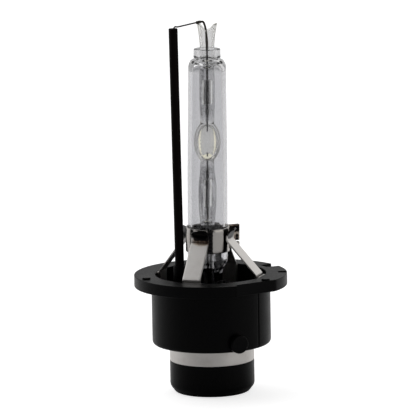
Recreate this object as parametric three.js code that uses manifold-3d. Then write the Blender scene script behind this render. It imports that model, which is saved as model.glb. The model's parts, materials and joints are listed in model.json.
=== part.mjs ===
// A gas-discharge headlight bulb with a quarter-turn cap, in millimetres.
// +Z runs up the bulb's axis. The origin is the middle of the nose's flat end, on which it stands.
// The four support fingers lie on the X and Y axes, and the return conductor between -X and -Y.
// The burner (the bulb, its arc tube and its clamp) stands where it was aimed, a little off the cap's axis.

import * as THREE from "three";
import { mergeVertices } from "three/addons/utils/BufferGeometryUtils.js";
import Module from "manifold-3d";

const wasm = await Module();
wasm.setup();

// ---- Driving dimensions ----

const bond = 0.05; // gap kept at every glued, welded or pressed face

// Cap: nose, contact ring, body and flange, from the bottom up.
const noseDia = 17.7;
const noseHeight = 6.7;
const noseChamfer = 1.1;
const noseChamferHeight = 1.4;
const ringShow = 3.45; // contact ring seen between the nose and the body
const ringThickness = 0.4;
const ringTabWidth = 3;
const ringTabThickness = 0.28;
const ringTabRise = 3.6; // how far the tab rises above the cap's floor
const bodyDia = 24.84;
const bodyHeight = 12.3;
const bodyFillet = 0.9;
const bodyWall = 1.5;
const bodyFloor = 1.75;
const flangeOverhang = 3.58; // how far the flange stands out past the body
const flangeThickness = 2.45;
const flangeEdge = 0.18;
const wellWall = 0.82; // body wall left beside the well
const wellDepth = 7.2;

// Flange details.
const bossDia = 1.75;
const bossHeight = 0.35;
const bossInset = 1.6; // from the rim to the middle of a boss
const bossAngle = -138;
const keywayAngle = 51;
const keywayWidth = 2.8;
const keywayDepth = 3;
const indexAngle = 20;
const indexWidth = 1.7;
const indexDepth = 1.9;
const flatInset = 1.5; // from the rim to the middle of the flat
const flatAngle = -38; // the way the flat faces
const flatStart = -50; // where it starts, with a step; it runs out at its other end

// Bayonet lugs and the mould lines on the body.
const lugDia = 3.9;
const lugReach = 1.5;
const lugAngles = [-45, 135];
const mouldLineAngles = [-18, 162];
const mouldLineWidth = 0.4;
const mouldLineDepth = 0.2;

// Contact socket in the nose, and the hollow above it.
const socketDia = 8.4;
const socketDepth = 7;
const webThickness = 1.5;
const hollowDia = 13;
const collarHeight = 1.75;
const contactHeadDia = 5.2;
const contactHeadHeight = 0.6;
const contactShankDia = 2.4;
const contactShankHeight = 3.3;

// Well plate, mounting ring and insulating sleeve.
const plateThickness = 1.5;
const towerWall = 1.2;
const towerRise = 2.9;
const postDia = 2.7;
const postFootDia = 3.5;
const postRise = 7.5;
const sheet = 0.35; // thickness of the stamped metal
const mountingRingWidth = 1.9;
const tabRise = 5.2;
const sleeveWall = 0.9;

// How the burner was aimed: at the seating plane its axis stands off the cap's, and it leans back over it.
const aimShift = 0.6;
const aimAngle = -160; // the way it stands off
const aimTilt = 0.8; // degrees

// Outer bulb, measured from the flange's top face, which is the seating plane.
const bulbDia = 8.34;
const bulbTopDia = 7.84;
const bulbWall = 0.85;
const bulbStart = 2.8; // where the glass starts to draw in towards its foot
const bulbEnd = 43.6;
const bulbTaperFrom = 22;
const neckDia = 6.2;
const neckBelowSeat = 3;
const footCurve = 1.6;
const shoulderRise = 1.7;
const crownDia = 5.6;
const crownHeight = 2;
const crownGroove = 0.25;

// Arc tube and what it holds.
const lightCentre = 27.8;
const arcGap = 4.2;
const vesselDia = 5.5;
const vesselLength = 8.8;
const chamberDia = 3;
const chamberLength = 7.2;
const stemDia = 3.2;
const lowerSealDia = 3.7;
const stemBelowSeat = 12;
const hornStand = 5.3; // how far the horn stands out of the crown
const hornDia = 4.06;
const hornHeight = 5.1;
const hornNotch = 1.4;
const hornNotchAngle = -70;
const stemBore = 2;
const electrodeDia = 0.3;
const coilDia = 0.62;
const coilLength = 2.4;
const foilWidth = 1.3;
const foilThickness = 0.1;
const foilFromCentre = 8; // from the light centre to each foil
const upperFoilLength = 4.9;
const lowerFoilLength = 5.5;
const upperFoilAngle = -70;
const lowerFoilAngle = -25;
const sealPastFoil = 3;
const leadDia = 0.4;

// Clamp band and support fingers.
const bandBottom = 4.8;
const bandHeight = 5.1;
const earAngle = 45;
const earLength = 2.65;
const earSlit = 0.3;
const earSlitLength = 1.25;
const earSlitHeight = 1.4;
const fingerWidth = 3.9;
const fingerGripHeight = 7.2;
const fingerFlare = 2.1;
const fingerTipHeight = 10;
const fingerCorner = 1.3;
const fingerBend = 0.6;
const fingerFootTop = 0.3;
const fingerFootDepth = 4.2;

// Return conductor.
const returnAngle = -135;
const returnGap = 0.93; // from the clamp band to the return tube's foot
const returnLean = 0.6; // how much further out its top stands
const returnTubeDia = 1.8;
const returnTubeBore = 0.6;
const returnBelowHorn = 0.6; // from the horn's top down to the return tube's top
const returnWireDia = 0.3;
const bridgeRise = 0.4; // how far the wires' bridge stands over the horn
const jointDia = 0.68;
const jointLength = 1.1;

// ---- Heights and radii that follow ----

const ringFoot = noseHeight;
const bodyBottom = ringFoot + ringShow;
const flangeBottom = bodyBottom + bodyHeight;
const seat = flangeBottom + flangeThickness;
const bodyRadius = bodyDia / 2;
const flangeRadius = bodyRadius + flangeOverhang;
const flatFromAxis = flangeRadius - flatInset;
const wellRadius = bodyRadius - wellWall;
const wellFloor = seat - wellDepth;
const boreRadius = bodyRadius - bodyWall;
const floorTop = bodyBottom + bodyFloor;
const noseRadius = noseDia / 2;
const ringInner = noseRadius - ringThickness;
const collarTop = floorTop + bond + collarHeight;
const webBottom = socketDepth;
const webTop = webBottom + webThickness;
const ringTop = floorTop;
const ringTabBottom = ringTop - 1;
const ringTabMiddle = Math.sqrt(noseRadius ** 2 - (ringTabWidth / 2) ** 2) - ringTabThickness / 2;
const plateBottom = wellFloor + sheet + 2 * bond;
const plateTop = plateBottom + plateThickness;
const stemRadius = stemDia / 2;
const neckRadius = neckDia / 2;
const arcCentre = seat + lightCentre;
const bandInner = bulbDia / 2 + bond;
const bandOuter = bandInner + sheet;
const tabRadius = Math.sqrt((wellRadius - bond) ** 2 - (fingerWidth / 2) ** 2) - sheet / 2;
const footRadius = tabRadius - sheet - bond;
const crownTop = bulbEnd + shoulderRise + crownHeight;
const hornTop = crownTop + hornStand;
const returnRadius = bandOuter + aimShift + returnGap + returnTubeDia / 2;
const returnTubeTop = hornTop - returnBelowHorn;

// How far the burner's axis stands off the cap's at a height.
const aimOffset = (height) => aimShift - (height - seat) * Math.tan((aimTilt * Math.PI) / 180);

const metal = (colour, roughness) =>
  new THREE.MeshStandardMaterial({ color: colour, roughness, metalness: 1 });
const plain = (colour, roughness) =>
  new THREE.MeshStandardMaterial({ color: colour, roughness, metalness: 0 });
const blackPlastic = plain(0x17171a, 0.45);
const innerPlastic = plain(0x101012, 0.6);
const clearGlass = new THREE.MeshStandardMaterial({
  color: 0xdfe3e8,
  roughness: 0.05,
  metalness: 0,
  transparent: true,
  opacity: 0.35,
});
const ceramic = plain(0x0d0c0c, 0.7);
const paleCeramic = plain(0xd9d4c8, 0.6);
const springSteel = metal(0xb9b4ad, 0.35);
const nickel = metal(0xc9c6c0, 0.3);
const tungsten = metal(0x6b6b70, 0.5);
const molybdenum = metal(0x8a8a8e, 0.45);
const salt = plain(0xd8cf9a, 0.8);

const part = new THREE.Group();

// The burner's pieces are made upright on the axis, and this group leans them about the seating plane.
const burner = new THREE.Group();
const up = new THREE.Vector3(0, 0, 1);
const aimWay = new THREE.Vector3(1, 0, 0).applyAxisAngle(up, (aimAngle * Math.PI) / 180);
const aimHinge = up.clone().cross(aimWay);
burner.quaternion.setFromAxisAngle(aimHinge, (-aimTilt * Math.PI) / 180);
burner.position
  .set(0, 0, -seat)
  .applyQuaternion(burner.quaternion)
  .addScaledVector(aimWay, aimShift)
  .add(new THREE.Vector3(0, 0, seat));
burner.updateMatrix();
part.add(burner);

// ---- Making shapes ----

const rad = THREE.MathUtils.degToRad;

// Adds a named piece to the cap or the burner, turned about the group's axis by an angle in degrees.
function add(group, name, geometry, material, angle = 0) {
  const mesh = new THREE.Mesh(geometry, material);
  mesh.name = name;
  mesh.rotation.z = rad(angle);
  group.add(mesh);
}

// Where a point of the upright burner comes to lie once it is aimed.
function aimed(x, y, z) {
  return new THREE.Vector3(x, y, z).applyMatrix4(burner.matrix).toArray();
}

// Points on an arc about (x, y), between two angles in degrees, both ends included.
function arc(x, y, radius, from, to, steps) {
  return Array.from({ length: steps + 1 }, (_, i) => {
    const a = rad(from + ((to - from) * i) / steps);
    return [x + radius * Math.cos(a), y + radius * Math.sin(a)];
  });
}

// A solid turned about Z. Its (radius, height) outline starts and ends on the axis or closes on itself.
function turned(outline, segments) {
  const points = outline.map(([r, z]) => new THREE.Vector2(r, z));
  if (THREE.ShapeUtils.isClockWise(points)) points.reverse();
  if (points[0].x > 0 || points.at(-1).x > 0) points.push(points[0].clone());
  return new THREE.LatheGeometry(points, segments).rotateX(Math.PI / 2);
}

// A ring or tube turned about Z.
function tube(inner, outer, bottom, top, segments) {
  return turned([[inner, bottom], [outer, bottom], [outer, top], [inner, top]], segments);
}

// A round bar along Z.
function bar(radius, bottom, top, segments) {
  return turned([[0, bottom], [radius, bottom], [radius, top], [0, top]], segments);
}

// A flat outline in X and Y, raised along Z.
function raised(shape, bottom, height, curveSegments = 12) {
  const made = new THREE.ExtrudeGeometry(shape, { depth: height, bevelEnabled: false, curveSegments });
  return made.translate(0, 0, bottom);
}

// A box about (x, y), from one height to another.
function block(x, y, width, depth, bottom, top) {
  return new THREE.BoxGeometry(width, depth, top - bottom).translate(x, y, (bottom + top) / 2);
}

// An outline in radius and height, carried a width across the X axis.
function across(points, width) {
  const shape = new THREE.Shape(points.map(([r, z]) => new THREE.Vector2(r, z)));
  const made = new THREE.ExtrudeGeometry(shape, { depth: width, bevelEnabled: false });
  return made.rotateX(Math.PI / 2).translate(0, width / 2, 0);
}

// The closed outline of a sheet of a thickness whose middle follows the points.
function sheetOutline(middle, thickness) {
  const side = (sign) =>
    middle.map(([x, y], i) => {
      const [ax, ay] = middle[Math.max(i - 1, 0)];
      const [bx, by] = middle[Math.min(i + 1, middle.length - 1)];
      const length = Math.hypot(bx - ax, by - ay);
      const half = (sign * thickness) / 2;
      return [x - (half * (by - ay)) / length, y + (half * (bx - ax)) / length];
    });
  return [...side(1), ...side(-1).reverse()];
}

// A wire's route. Its steps fall on its own points, so a long straight run takes one step.
class Route extends THREE.CatmullRomCurve3 {
  getUtoTmapping(u) {
    return u;
  }
  getSpacedPoints(steps) {
    return this.getPoints(steps);
  }
}

// A round wire along a list of [x, y, z] points.
function wire(points, diameter, sides = 8) {
  const route = new Route(points.map((p) => new THREE.Vector3(...p)));
  const section = new THREE.Shape(
    arc(0, 0, diameter / 2, 0, 360 - 360 / sides, sides - 1).map(([x, y]) => new THREE.Vector2(x, y)),
  );
  return new THREE.ExtrudeGeometry(section, { steps: points.length - 1, extrudePath: route });
}

// A closed geometry as a solid that can be joined and cut.
function solid(geometry) {
  const bare = (geometry.index ? geometry.toNonIndexed() : geometry.clone())
    .deleteAttribute("normal")
    .deleteAttribute("uv");
  const merged = mergeVertices(bare, 1e-4);
  const kept = [];
  for (let i = 0; i < merged.index.count; i += 3) {
    const [a, b, c] = [0, 1, 2].map((k) => merged.index.getX(i + k));
    if (a !== b && b !== c && a !== c) kept.push(a, b, c);
  }
  return new wasm.Manifold(
    new wasm.Mesh({
      numProp: 3,
      vertProperties: merged.attributes.position.array,
      triVerts: new Uint32Array(kept),
    }),
  );
}

// A solid back as a geometry.
function geometryOf(made) {
  const { numProp, numVert, vertProperties, triVerts } = made.getMesh();
  const positions = new Float32Array(numVert * 3);
  for (let i = 0; i < numVert; i++) {
    positions.set(vertProperties.subarray(i * numProp, i * numProp + 3), i * 3);
  }
  return new THREE.BufferGeometry()
    .setAttribute("position", new THREE.BufferAttribute(positions, 3))
    .setIndex(new THREE.BufferAttribute(triVerts, 1));
}

// One geometry with others joined to it and then others cut from it.
function shaped(base, { joins = [], cuts = [] }) {
  const joined = joins.reduce((made, g) => made.add(solid(g)), solid(base));
  return geometryOf(cuts.reduce((made, g) => made.subtract(solid(g)), joined));
}

// A geometry turned about the axis by an angle in degrees.
function at(angle, geometry) {
  return geometry.rotateZ(rad(angle));
}

// ---- Cap ----

// Flange and body in one moulding, with the well above and the bore below.
function capShell() {
  const holeRadius = noseRadius + bond;
  const outline = [
    [wellRadius, seat],
    [flangeRadius - flangeEdge, seat],
    [flangeRadius, seat - flangeEdge],
    [flangeRadius, flangeBottom + flangeEdge],
    [flangeRadius - flangeEdge, flangeBottom],
    [bodyRadius, flangeBottom],
    ...arc(bodyRadius - bodyFillet, bodyBottom + bodyFillet, bodyFillet, 0, -90, 4),
    [holeRadius, bodyBottom],
    [holeRadius, floorTop],
    [boreRadius, floorTop],
    [boreRadius, wellFloor],
    [wellRadius, wellFloor],
  ];
  const bossCircle = flangeRadius - bossInset;
  const bosses = [0, 120, 240].map((turn) =>
    at(bossAngle + turn, bar(bossDia / 2, seat - 0.5, seat + bossHeight, 16).translate(bossCircle, 0, 0)),
  );
  const lugHeight = bodyBottom + lugDia / 2;
  const lugs = lugAngles.map((angle) => {
    const length = lugReach + bodyWall / 2;
    const peg = bar(lugDia / 2, 0, length, 20).rotateY(Math.PI / 2);
    return at(angle, peg.translate(bodyRadius - bodyWall / 2, 0, lugHeight));
  });
  return shaped(turned(outline, 72), {
    joins: [...bosses, ...lugs],
    cuts: [...flangeNotches(), flangeFlat(), ...mouldLines()],
  });
}

// The keyway and the index notch, which only let the cap into its holder one way.
function flangeNotches() {
  const notch = (angle, width, depth) => {
    const reach = depth + 1;
    const x = flangeRadius - depth + reach / 2;
    return at(angle, block(x, 0, reach, width, flangeBottom - 1, seat + 1));
  };
  return [
    notch(keywayAngle, keywayWidth, keywayDepth),
    notch(indexAngle, indexWidth, indexDepth),
  ];
}

// What the flat takes off the flange's edge: from a radial step to where the flat meets the rim.
function flangeFlat() {
  const outer = flangeRadius + 1;
  const stepRadius = flatFromAxis / Math.cos(rad(flatStart - flatAngle));
  const flatEnd = flatAngle + THREE.MathUtils.radToDeg(Math.acos(flatFromAxis / outer));
  const outline = [
    [stepRadius * Math.cos(rad(flatStart)), stepRadius * Math.sin(rad(flatStart))],
    ...arc(0, 0, outer, flatStart, flatEnd, 8),
  ];
  const shape = new THREE.Shape(outline.map(([x, y]) => new THREE.Vector2(x, y)));
  return raised(shape, flangeBottom - 1, flangeThickness + 2);
}

// Shallow grooves down the body where the two halves of the mould meet.
function mouldLines() {
  return mouldLineAngles.map((angle) => {
    const x = bodyRadius - mouldLineDepth + 1;
    return at(angle, block(x, 0, 2, mouldLineWidth, bodyBottom - 1, flangeBottom - 0.2));
  });
}

// The black nose: a collar that rests on the body's floor, a seat for the contact ring and the socket.
function noseInsulator() {
  const seatRadius = ringInner - bond;
  const collarRadius = boreRadius - bond;
  const hollowRadius = hollowDia / 2;
  const socketRadius = socketDia / 2;
  const holeRadius = contactShankDia / 2 + bond;
  const outline = [
    [holeRadius, webBottom],
    [socketRadius, webBottom],
    [socketRadius, 0.4],
    [socketRadius + 0.4, 0],
    [noseRadius - noseChamfer, 0],
    [noseRadius - noseChamfer / 3, noseChamferHeight / 3],
    [noseRadius, noseChamferHeight],
    [noseRadius, ringFoot - bond],
    [seatRadius, ringFoot - bond],
    [seatRadius, floorTop + bond],
    [collarRadius, floorTop + bond],
    [collarRadius, collarTop],
    [hollowRadius, collarTop],
    [hollowRadius, webTop],
    [holeRadius, webTop],
  ];
  const slack = 4 * bond;
  const slotBottom = ringTabBottom - bond;
  const slotTop = collarTop + 1;
  const tabSlot = block(
    ringTabMiddle, 0, ringTabThickness + slack, ringTabWidth + slack, slotBottom, slotTop,
  );
  return shaped(turned(outline, 48), { cuts: [at(returnAngle, tabSlot)] });
}

// The contact ring, with a tab that rises through the collar to the return wire.
function contactRing() {
  const band = tube(ringInner, noseRadius, ringFoot, ringTop, 48);
  const tab = block(ringTabMiddle, 0, ringTabThickness, ringTabWidth, ringTabBottom, ringTop + ringTabRise);
  return shaped(band, { joins: [at(returnAngle, tab)] });
}

// The centre contact: a domed head in the socket on a hollow shank that takes the lower lead.
function centreContact() {
  const headRadius = contactHeadDia / 2;
  const shankRadius = contactShankDia / 2;
  const boreHere = leadDia / 2 + bond;
  const headTop = webBottom - bond;
  const headBottom = headTop - contactHeadHeight;
  const outline = [
    [boreHere, headBottom - 0.25],
    [headRadius * 0.5, headBottom - 0.2],
    [headRadius - 0.25, headBottom],
    [headRadius, headBottom + 0.2],
    [headRadius, headTop],
    [shankRadius, headTop],
    [shankRadius, headTop + contactShankHeight],
    [boreHere, headTop + contactShankHeight],
  ];
  return turned(outline, 24);
}

// The plate that closes the well: a tower round the bulb's neck, a post for the return tube and four slots.
function wellPlate() {
  const holeRadius = neckRadius + aimOffset(plateBottom) + 2 * bond;
  const towerRadius = holeRadius + towerWall;
  const plateRadius = wellRadius - bond;
  const towerTop = plateTop + towerRise;
  const outline = [
    [holeRadius, plateBottom],
    [plateRadius, plateBottom],
    [plateRadius, plateTop],
    [towerRadius, plateTop],
    [towerRadius - 0.3, towerTop],
    [holeRadius, towerTop],
  ];
  const post = turned([
    [0, plateTop - 0.5],
    [postFootDia / 2, plateTop - 0.5],
    [postFootDia / 2, plateTop + 0.3],
    [postDia / 2, plateTop + postRise],
    [0, plateTop + postRise],
  ], 20).translate(returnRadius, 0, 0);
  const tubeHole = leaning(bar(returnTubeDia / 2 + bond, plateBottom - 2, plateTop + postRise + 2, 16));
  const notchInner = footRadius - sheet / 2 - 2 * bond;
  const notchWidth = plateRadius + 1 - notchInner;
  const notchMiddle = notchInner + notchWidth / 2;
  const slots = [0, 90, 180, 270].map((angle) =>
    at(angle, block(notchMiddle, 0, notchWidth, fingerWidth + 4 * bond, plateBottom - 1, plateTop + 1)),
  );
  return shaped(turned(outline, 48), {
    joins: [at(returnAngle, post)],
    cuts: [tubeHole, ...slots],
  });
}

// The stamped ring under the well plate, with four tabs that the fingers are welded to.
function mountingRing() {
  const outer = wellRadius - bond;
  const bottom = wellFloor + bond;
  const ring = tube(outer - mountingRingWidth, outer, bottom, bottom + sheet, 48);
  const tabs = [0, 90, 180, 270].map((angle) =>
    at(angle, block(tabRadius, 0, sheet, fingerWidth, bottom, plateTop + tabRise)),
  );
  return shaped(ring, { joins: tabs });
}

// ---- Bulb ----

// The outer bulb: necked at the foot, slightly tapered, with a rounded shoulder and a crown at the top.
function outerBulb() {
  const low = bulbDia / 2;
  const high = bulbTopDia / 2;
  const crown = crownDia / 2;
  const start = seat + bulbStart;
  const end = seat + bulbEnd;
  const neckTop = start - 1.5 * footCurve;
  const top = seat + crownTop;
  const footHole = stemRadius + bond;
  const topHole = stemRadius * 0.95 + bond;
  const outside = [
    [neckRadius, seat - neckBelowSeat],
    [neckRadius, neckTop - 0.4],
    [neckRadius + 0.1, neckTop + 0.3],
    ...arc(low - footCurve, start, footCurve, -62, 0, 4),
    [low, seat + bulbTaperFrom],
    [(low + high) / 2, seat + (bulbTaperFrom + bulbEnd) / 2],
    [high, end],
    [high - 0.25, end + shoulderRise * 0.55],
    [crown + 0.35, end + shoulderRise * 0.9],
    [crown - crownGroove, end + shoulderRise],
    [crown, end + shoulderRise + 0.3],
    [crown, top - 0.5],
    [crown - 0.5, top],
  ];
  const inside = [
    [topHole, top],
    [topHole, end + shoulderRise * 0.7],
    [high - bulbWall - 0.5, end + 0.4],
    [high - bulbWall, end - 0.6],
    [low - bulbWall, seat + bulbTaperFrom],
    [low - bulbWall, start + 0.3],
    [low - bulbWall - 0.4, start - footCurve / 2],
    [footHole + 0.3, neckTop + 0.5],
    [footHole, neckTop - 0.4],
    [footHole, seat - neckBelowSeat],
  ];
  return turned([...outside, ...inside], 36);
}

// Heights of the arc tube's inner features, from the light centre.
const chamberHalf = chamberLength / 2;
const upperFoilTop = foilFromCentre + upperFoilLength;
const lowerFoilBottom = -foilFromCentre - lowerFoilLength;
const openAbove = upperFoilTop + sealPastFoil;
const openBelow = lowerFoilBottom - sealPastFoil;

// Radius of an ellipse of revolution at a height from its middle.
const swell = (radius, half, height) => radius * Math.sqrt(1 - (height / half) ** 2);

// The quartz arc tube: two sealed stems, the vessel between them, and a flared horn on top.
function arcTube() {
  const sealRadius = lowerSealDia / 2;
  const half = vesselLength / 2;
  const waist = half * 0.84;
  const vesselSide = [-0.84, -0.7, -0.5, -0.25, 0, 0.25, 0.5, 0.7, 0.84].map((share) => [
    swell(vesselDia / 2, half, half * share),
    arcCentre + half * share,
  ]);
  const top = seat + hornTop;
  const outside = [
    [0, seat - stemBelowSeat],
    [stemRadius, seat - stemBelowSeat],
    [stemRadius, arcCentre + openBelow],
    [sealRadius, arcCentre + lowerFoilBottom],
    [sealRadius, arcCentre - foilFromCentre],
    [swell(vesselDia / 2, half, waist) + 0.05, arcCentre - waist - 0.6],
    ...vesselSide,
    [stemRadius, arcCentre + waist + 0.9],
    [stemRadius, arcCentre + upperFoilTop],
    [stemRadius * 0.95, seat + bulbEnd],
    [stemRadius * 0.95, top - hornHeight],
    [hornDia / 2 - 0.35, top - hornHeight * 0.45],
    [hornDia / 2, top],
    [0, top],
  ];
  const holeRadius = electrodeDia / 2 + bond;
  const coilHole = coilDia / 2 + bond;
  const leadHole = leadDia / 2 + bond;
  const bore = stemBore / 2;
  const chamber = [-0.94, -0.8, -0.5, 0, 0.5, 0.8, 0.94].map((share) => [
    swell(chamberDia / 2, chamberHalf, chamberHalf * share),
    arcCentre + chamberHalf * share,
  ]);
  const inside = [
    [0, seat - stemBelowSeat - 1],
    [bore, seat - stemBelowSeat - 1],
    [bore, arcCentre + openBelow - 2.5],
    [leadHole, arcCentre + openBelow],
    [leadHole, arcCentre + lowerFoilBottom],
    [coilHole, arcCentre + lowerFoilBottom],
    [coilHole, arcCentre - foilFromCentre + coilLength],
    [holeRadius, arcCentre - foilFromCentre + coilLength],
    [holeRadius, chamber[0][1]],
    ...chamber,
    [holeRadius, chamber.at(-1)[1]],
    [holeRadius, arcCentre + foilFromCentre - coilLength],
    [coilHole, arcCentre + foilFromCentre - coilLength],
    [coilHole, arcCentre + upperFoilTop],
    [leadHole, arcCentre + upperFoilTop],
    [leadHole, arcCentre + openAbove - 1],
    [bore, seat + bulbEnd + shoulderRise],
    [bore, top - hornHeight],
    [hornDia / 2 - 0.5, top + 0.01],
    [hornDia / 2 - 0.5, top + 1],
    [0, top + 1],
  ];
  const pocketDepth = foilThickness + 2 * bond;
  const pocketWidth = foilWidth + 2 * bond;
  const pocket = (angle, from, length) =>
    at(angle, block(0, 0, pocketDepth, pocketWidth, from - bond, from + length + bond));
  const valley = new THREE.Shape([
    new THREE.Vector2(0, top - hornNotch),
    new THREE.Vector2(hornDia * 0.6, top + 0.3),
    new THREE.Vector2(-hornDia * 0.6, top + 0.3),
  ]);
  const notch = new THREE.ExtrudeGeometry(valley, { depth: hornDia * 1.4, bevelEnabled: false })
    .rotateX(Math.PI / 2)
    .translate(0, hornDia * 0.7, 0);
  return shaped(turned(outside, 28), {
    cuts: [
      turned(inside, 16),
      pocket(upperFoilAngle, arcCentre + foilFromCentre, upperFoilLength),
      pocket(lowerFoilAngle, arcCentre + lowerFoilBottom, lowerFoilLength),
      at(hornNotchAngle + 90, notch),
    ],
  });
}

// An electrode: a thin rod into the chamber, and a coil wound on it where the glass grips it.
// It is made pointing down from a foil that starts at height 0.
function electrode() {
  const tip = -(foilFromCentre - arcGap / 2);
  return turned([
    [0, tip],
    [electrodeDia / 2, tip],
    [electrodeDia / 2, -coilLength + bond],
    [coilDia / 2, -coilLength + bond],
    [coilDia / 2, -bond],
    [0, -bond],
  ], 12);
}

// The pool of solid halides that lies round the lower electrode.
function halideSalts() {
  const wall = (share) => swell(chamberDia / 2, chamberHalf, chamberHalf * share) - 2 * bond;
  const inner = electrodeDia / 2 + 2 * bond;
  const [low, high] = [0.9, 0.74];
  return turned([
    [inner, arcCentre - chamberHalf * low],
    [wall(low), arcCentre - chamberHalf * low],
    [wall(high), arcCentre - chamberHalf * high],
    [inner, arcCentre - chamberHalf * (high + 0.04)],
  ], 20);
}

// ---- Clamp ----

// The band round the bulb. It is one strip whose ends turn out side by side as welded ears.
function clampBand() {
  const half = bond / 2;
  const outer = half + sheet;
  const innerTurn = Math.asin(half / bandInner);
  const outerTurn = Math.asin(outer / bandOuter);
  const earEnd = bandOuter + earLength;
  const shape = new THREE.Shape();
  shape.moveTo(bandInner * Math.cos(innerTurn), half);
  shape.lineTo(earEnd, half);
  shape.lineTo(earEnd, outer);
  shape.lineTo(bandOuter * Math.cos(outerTurn), outer);
  shape.absarc(0, 0, bandOuter, outerTurn, 2 * Math.PI - outerTurn, false);
  shape.lineTo(earEnd, -outer);
  shape.lineTo(earEnd, -half);
  shape.lineTo(bandInner * Math.cos(innerTurn), -half);
  shape.absarc(0, 0, bandInner, 2 * Math.PI - innerTurn, innerTurn, true);
  const bottom = seat + bandBottom;
  const slitBottom = bottom + earSlitHeight;
  const slit = block(earEnd, 0, 2 * earSlitLength, 4 * outer, slitBottom, slitBottom + earSlit);
  return shaped(raised(shape, bottom, bandHeight, 44), { cuts: [slit] });
}

// A support finger on the +X side: a foot in the well, a slope up to the band, and a flared tip.
function supportFinger(angle) {
  const reach = aimOffset(seat + fingerGripHeight) * Math.cos(rad(angle - aimAngle));
  const grip = bandOuter + reach + 2 * bond + sheet / 2;
  const foot = [footRadius, seat + fingerFootTop];
  const gripPoint = [grip, seat + fingerGripHeight];
  const slope = Math.atan2(gripPoint[1] - foot[1], foot[0] - gripPoint[0]);
  const turn = THREE.MathUtils.radToDeg(slope);
  const flareRadius = fingerTipHeight - fingerGripHeight;
  const set = fingerBend * Math.tan((Math.PI / 2 - slope) / 2);
  const lowBend = [footRadius - fingerBend, foot[1] - set];
  const innerBend = [grip + fingerBend, gripPoint[1] + fingerBend * 0.5];
  const middle = [
    [footRadius, seat - fingerFootDepth],
    ...arc(...lowBend, fingerBend, 0, 90 - turn, 3),
    ...arc(...innerBend, fingerBend, 270 - turn, 180, 3),
    ...arc(grip + fingerFlare, innerBend[1] + 0.2, fingerFlare, 172, 115, 5).map(([r, z]) => [
      r,
      seat + fingerGripHeight + (z - seat - fingerGripHeight) * (flareRadius / (fingerFlare + fingerBend)),
    ]),
  ];
  const strip = across(sheetOutline(middle, sheet), fingerWidth);
  const halfWidth = fingerWidth / 2;
  const corner = fingerCorner;
  const top = seat + fingerTipHeight;
  const bottom = seat - fingerFootDepth - 1;
  const front = [
    [-halfWidth, bottom],
    [halfWidth, bottom],
    ...arc(halfWidth - corner, top - corner, corner, 0, 90, 4),
    ...arc(corner - halfWidth, top - corner, corner, 90, 180, 4),
  ];
  const shape = new THREE.Shape(front.map(([x, y]) => new THREE.Vector2(x, y)));
  const mask = new THREE.ExtrudeGeometry(shape, { depth: wellRadius + 2, bevelEnabled: false })
    .rotateX(Math.PI / 2)
    .rotateZ(Math.PI / 2);
  return geometryOf(solid(strip).intersect(solid(mask)));
}

// ---- Return conductor ----

const tubeBottom = plateBottom - 1;
const leanAngle = Math.atan2(returnLean, seat + returnTubeTop - tubeBottom);

// The axis of the return tube at a height.
function returnAxis(height) {
  const r = returnRadius + (height - plateTop) * Math.tan(leanAngle);
  return [r * Math.cos(rad(returnAngle)), r * Math.sin(rad(returnAngle)), height];
}

// A geometry made upright on the axis, moved onto the return tube's leaning axis.
function leaning(geometry) {
  const made = geometry.translate(0, 0, -plateTop).rotateY(leanAngle);
  return at(returnAngle, made.translate(returnRadius, 0, plateTop));
}

// A point beside the axis, towards the return tube.
function towardsReturn(radius, height) {
  return [radius * Math.cos(rad(returnAngle)), radius * Math.sin(rad(returnAngle)), height];
}

const bridge = seat + hornTop + bridgeRise;
const jointRadius = 1.9;
const jointSlope = 0.12; // how fast the bridge falls towards the return tube
const bridgeFall = (radius) => bridge - jointSlope * (radius - 1);

// The upper lead: from the foil, up the stem and over the horn's edge to the joint.
function upperLead() {
  const start = arcCentre + upperFoilTop + 2 * bond;
  return wire([
    [0, 0, start],
    [0, 0, seat + hornTop - hornHeight],
    [0, 0, bridge - 1.5],
    towardsReturn(0.1, bridge - 0.85),
    towardsReturn(0.4, bridge - 0.3),
    towardsReturn(0.85, bridge),
    towardsReturn(1.3, bridgeFall(1.3)),
    towardsReturn(jointRadius, bridgeFall(jointRadius)),
  ], leadDia);
}

// The return wire: from the joint, down inside the ceramic tube and out to the contact ring's tab.
function returnWire() {
  const tubeTop = seat + returnTubeTop;
  const topRadius = Math.hypot(...returnAxis(tubeTop).slice(0, 2));
  const weldRadius = ringTabMiddle - ringTabThickness / 2 - bond - returnWireDia / 2;
  return wire([
    aimed(...towardsReturn(jointRadius + 2 * bond, bridgeFall(jointRadius + 2 * bond))),
    aimed(...towardsReturn(jointRadius + jointLength, bridgeFall(jointRadius + jointLength))),
    towardsReturn(topRadius - 1.2, bridgeFall(topRadius - 0.7)),
    towardsReturn(topRadius - 0.5, tubeTop + 0.35),
    returnAxis(tubeTop - 0.4),
    returnAxis(tubeTop - 2),
    returnAxis(tubeBottom + 0.5),
    returnAxis(tubeBottom - 0.4),
    towardsReturn((returnRadius + weldRadius) / 2, tubeBottom - 1.1),
    towardsReturn(weldRadius, tubeBottom - 1.9),
    towardsReturn(weldRadius, collarTop + 0.3),
  ], returnWireDia);
}

// The small sleeve that joins the two wires, made upright and laid along the bridge.
function leadJoint() {
  const sleeve = tube(leadDia / 2 + bond, jointDia / 2, -jointLength / 2, jointLength / 2, 12);
  const laid = sleeve.rotateY(Math.PI / 2 + Math.atan(jointSlope));
  return at(returnAngle, laid.translate(jointRadius + bond, 0, bridgeFall(jointRadius + bond)));
}

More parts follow.
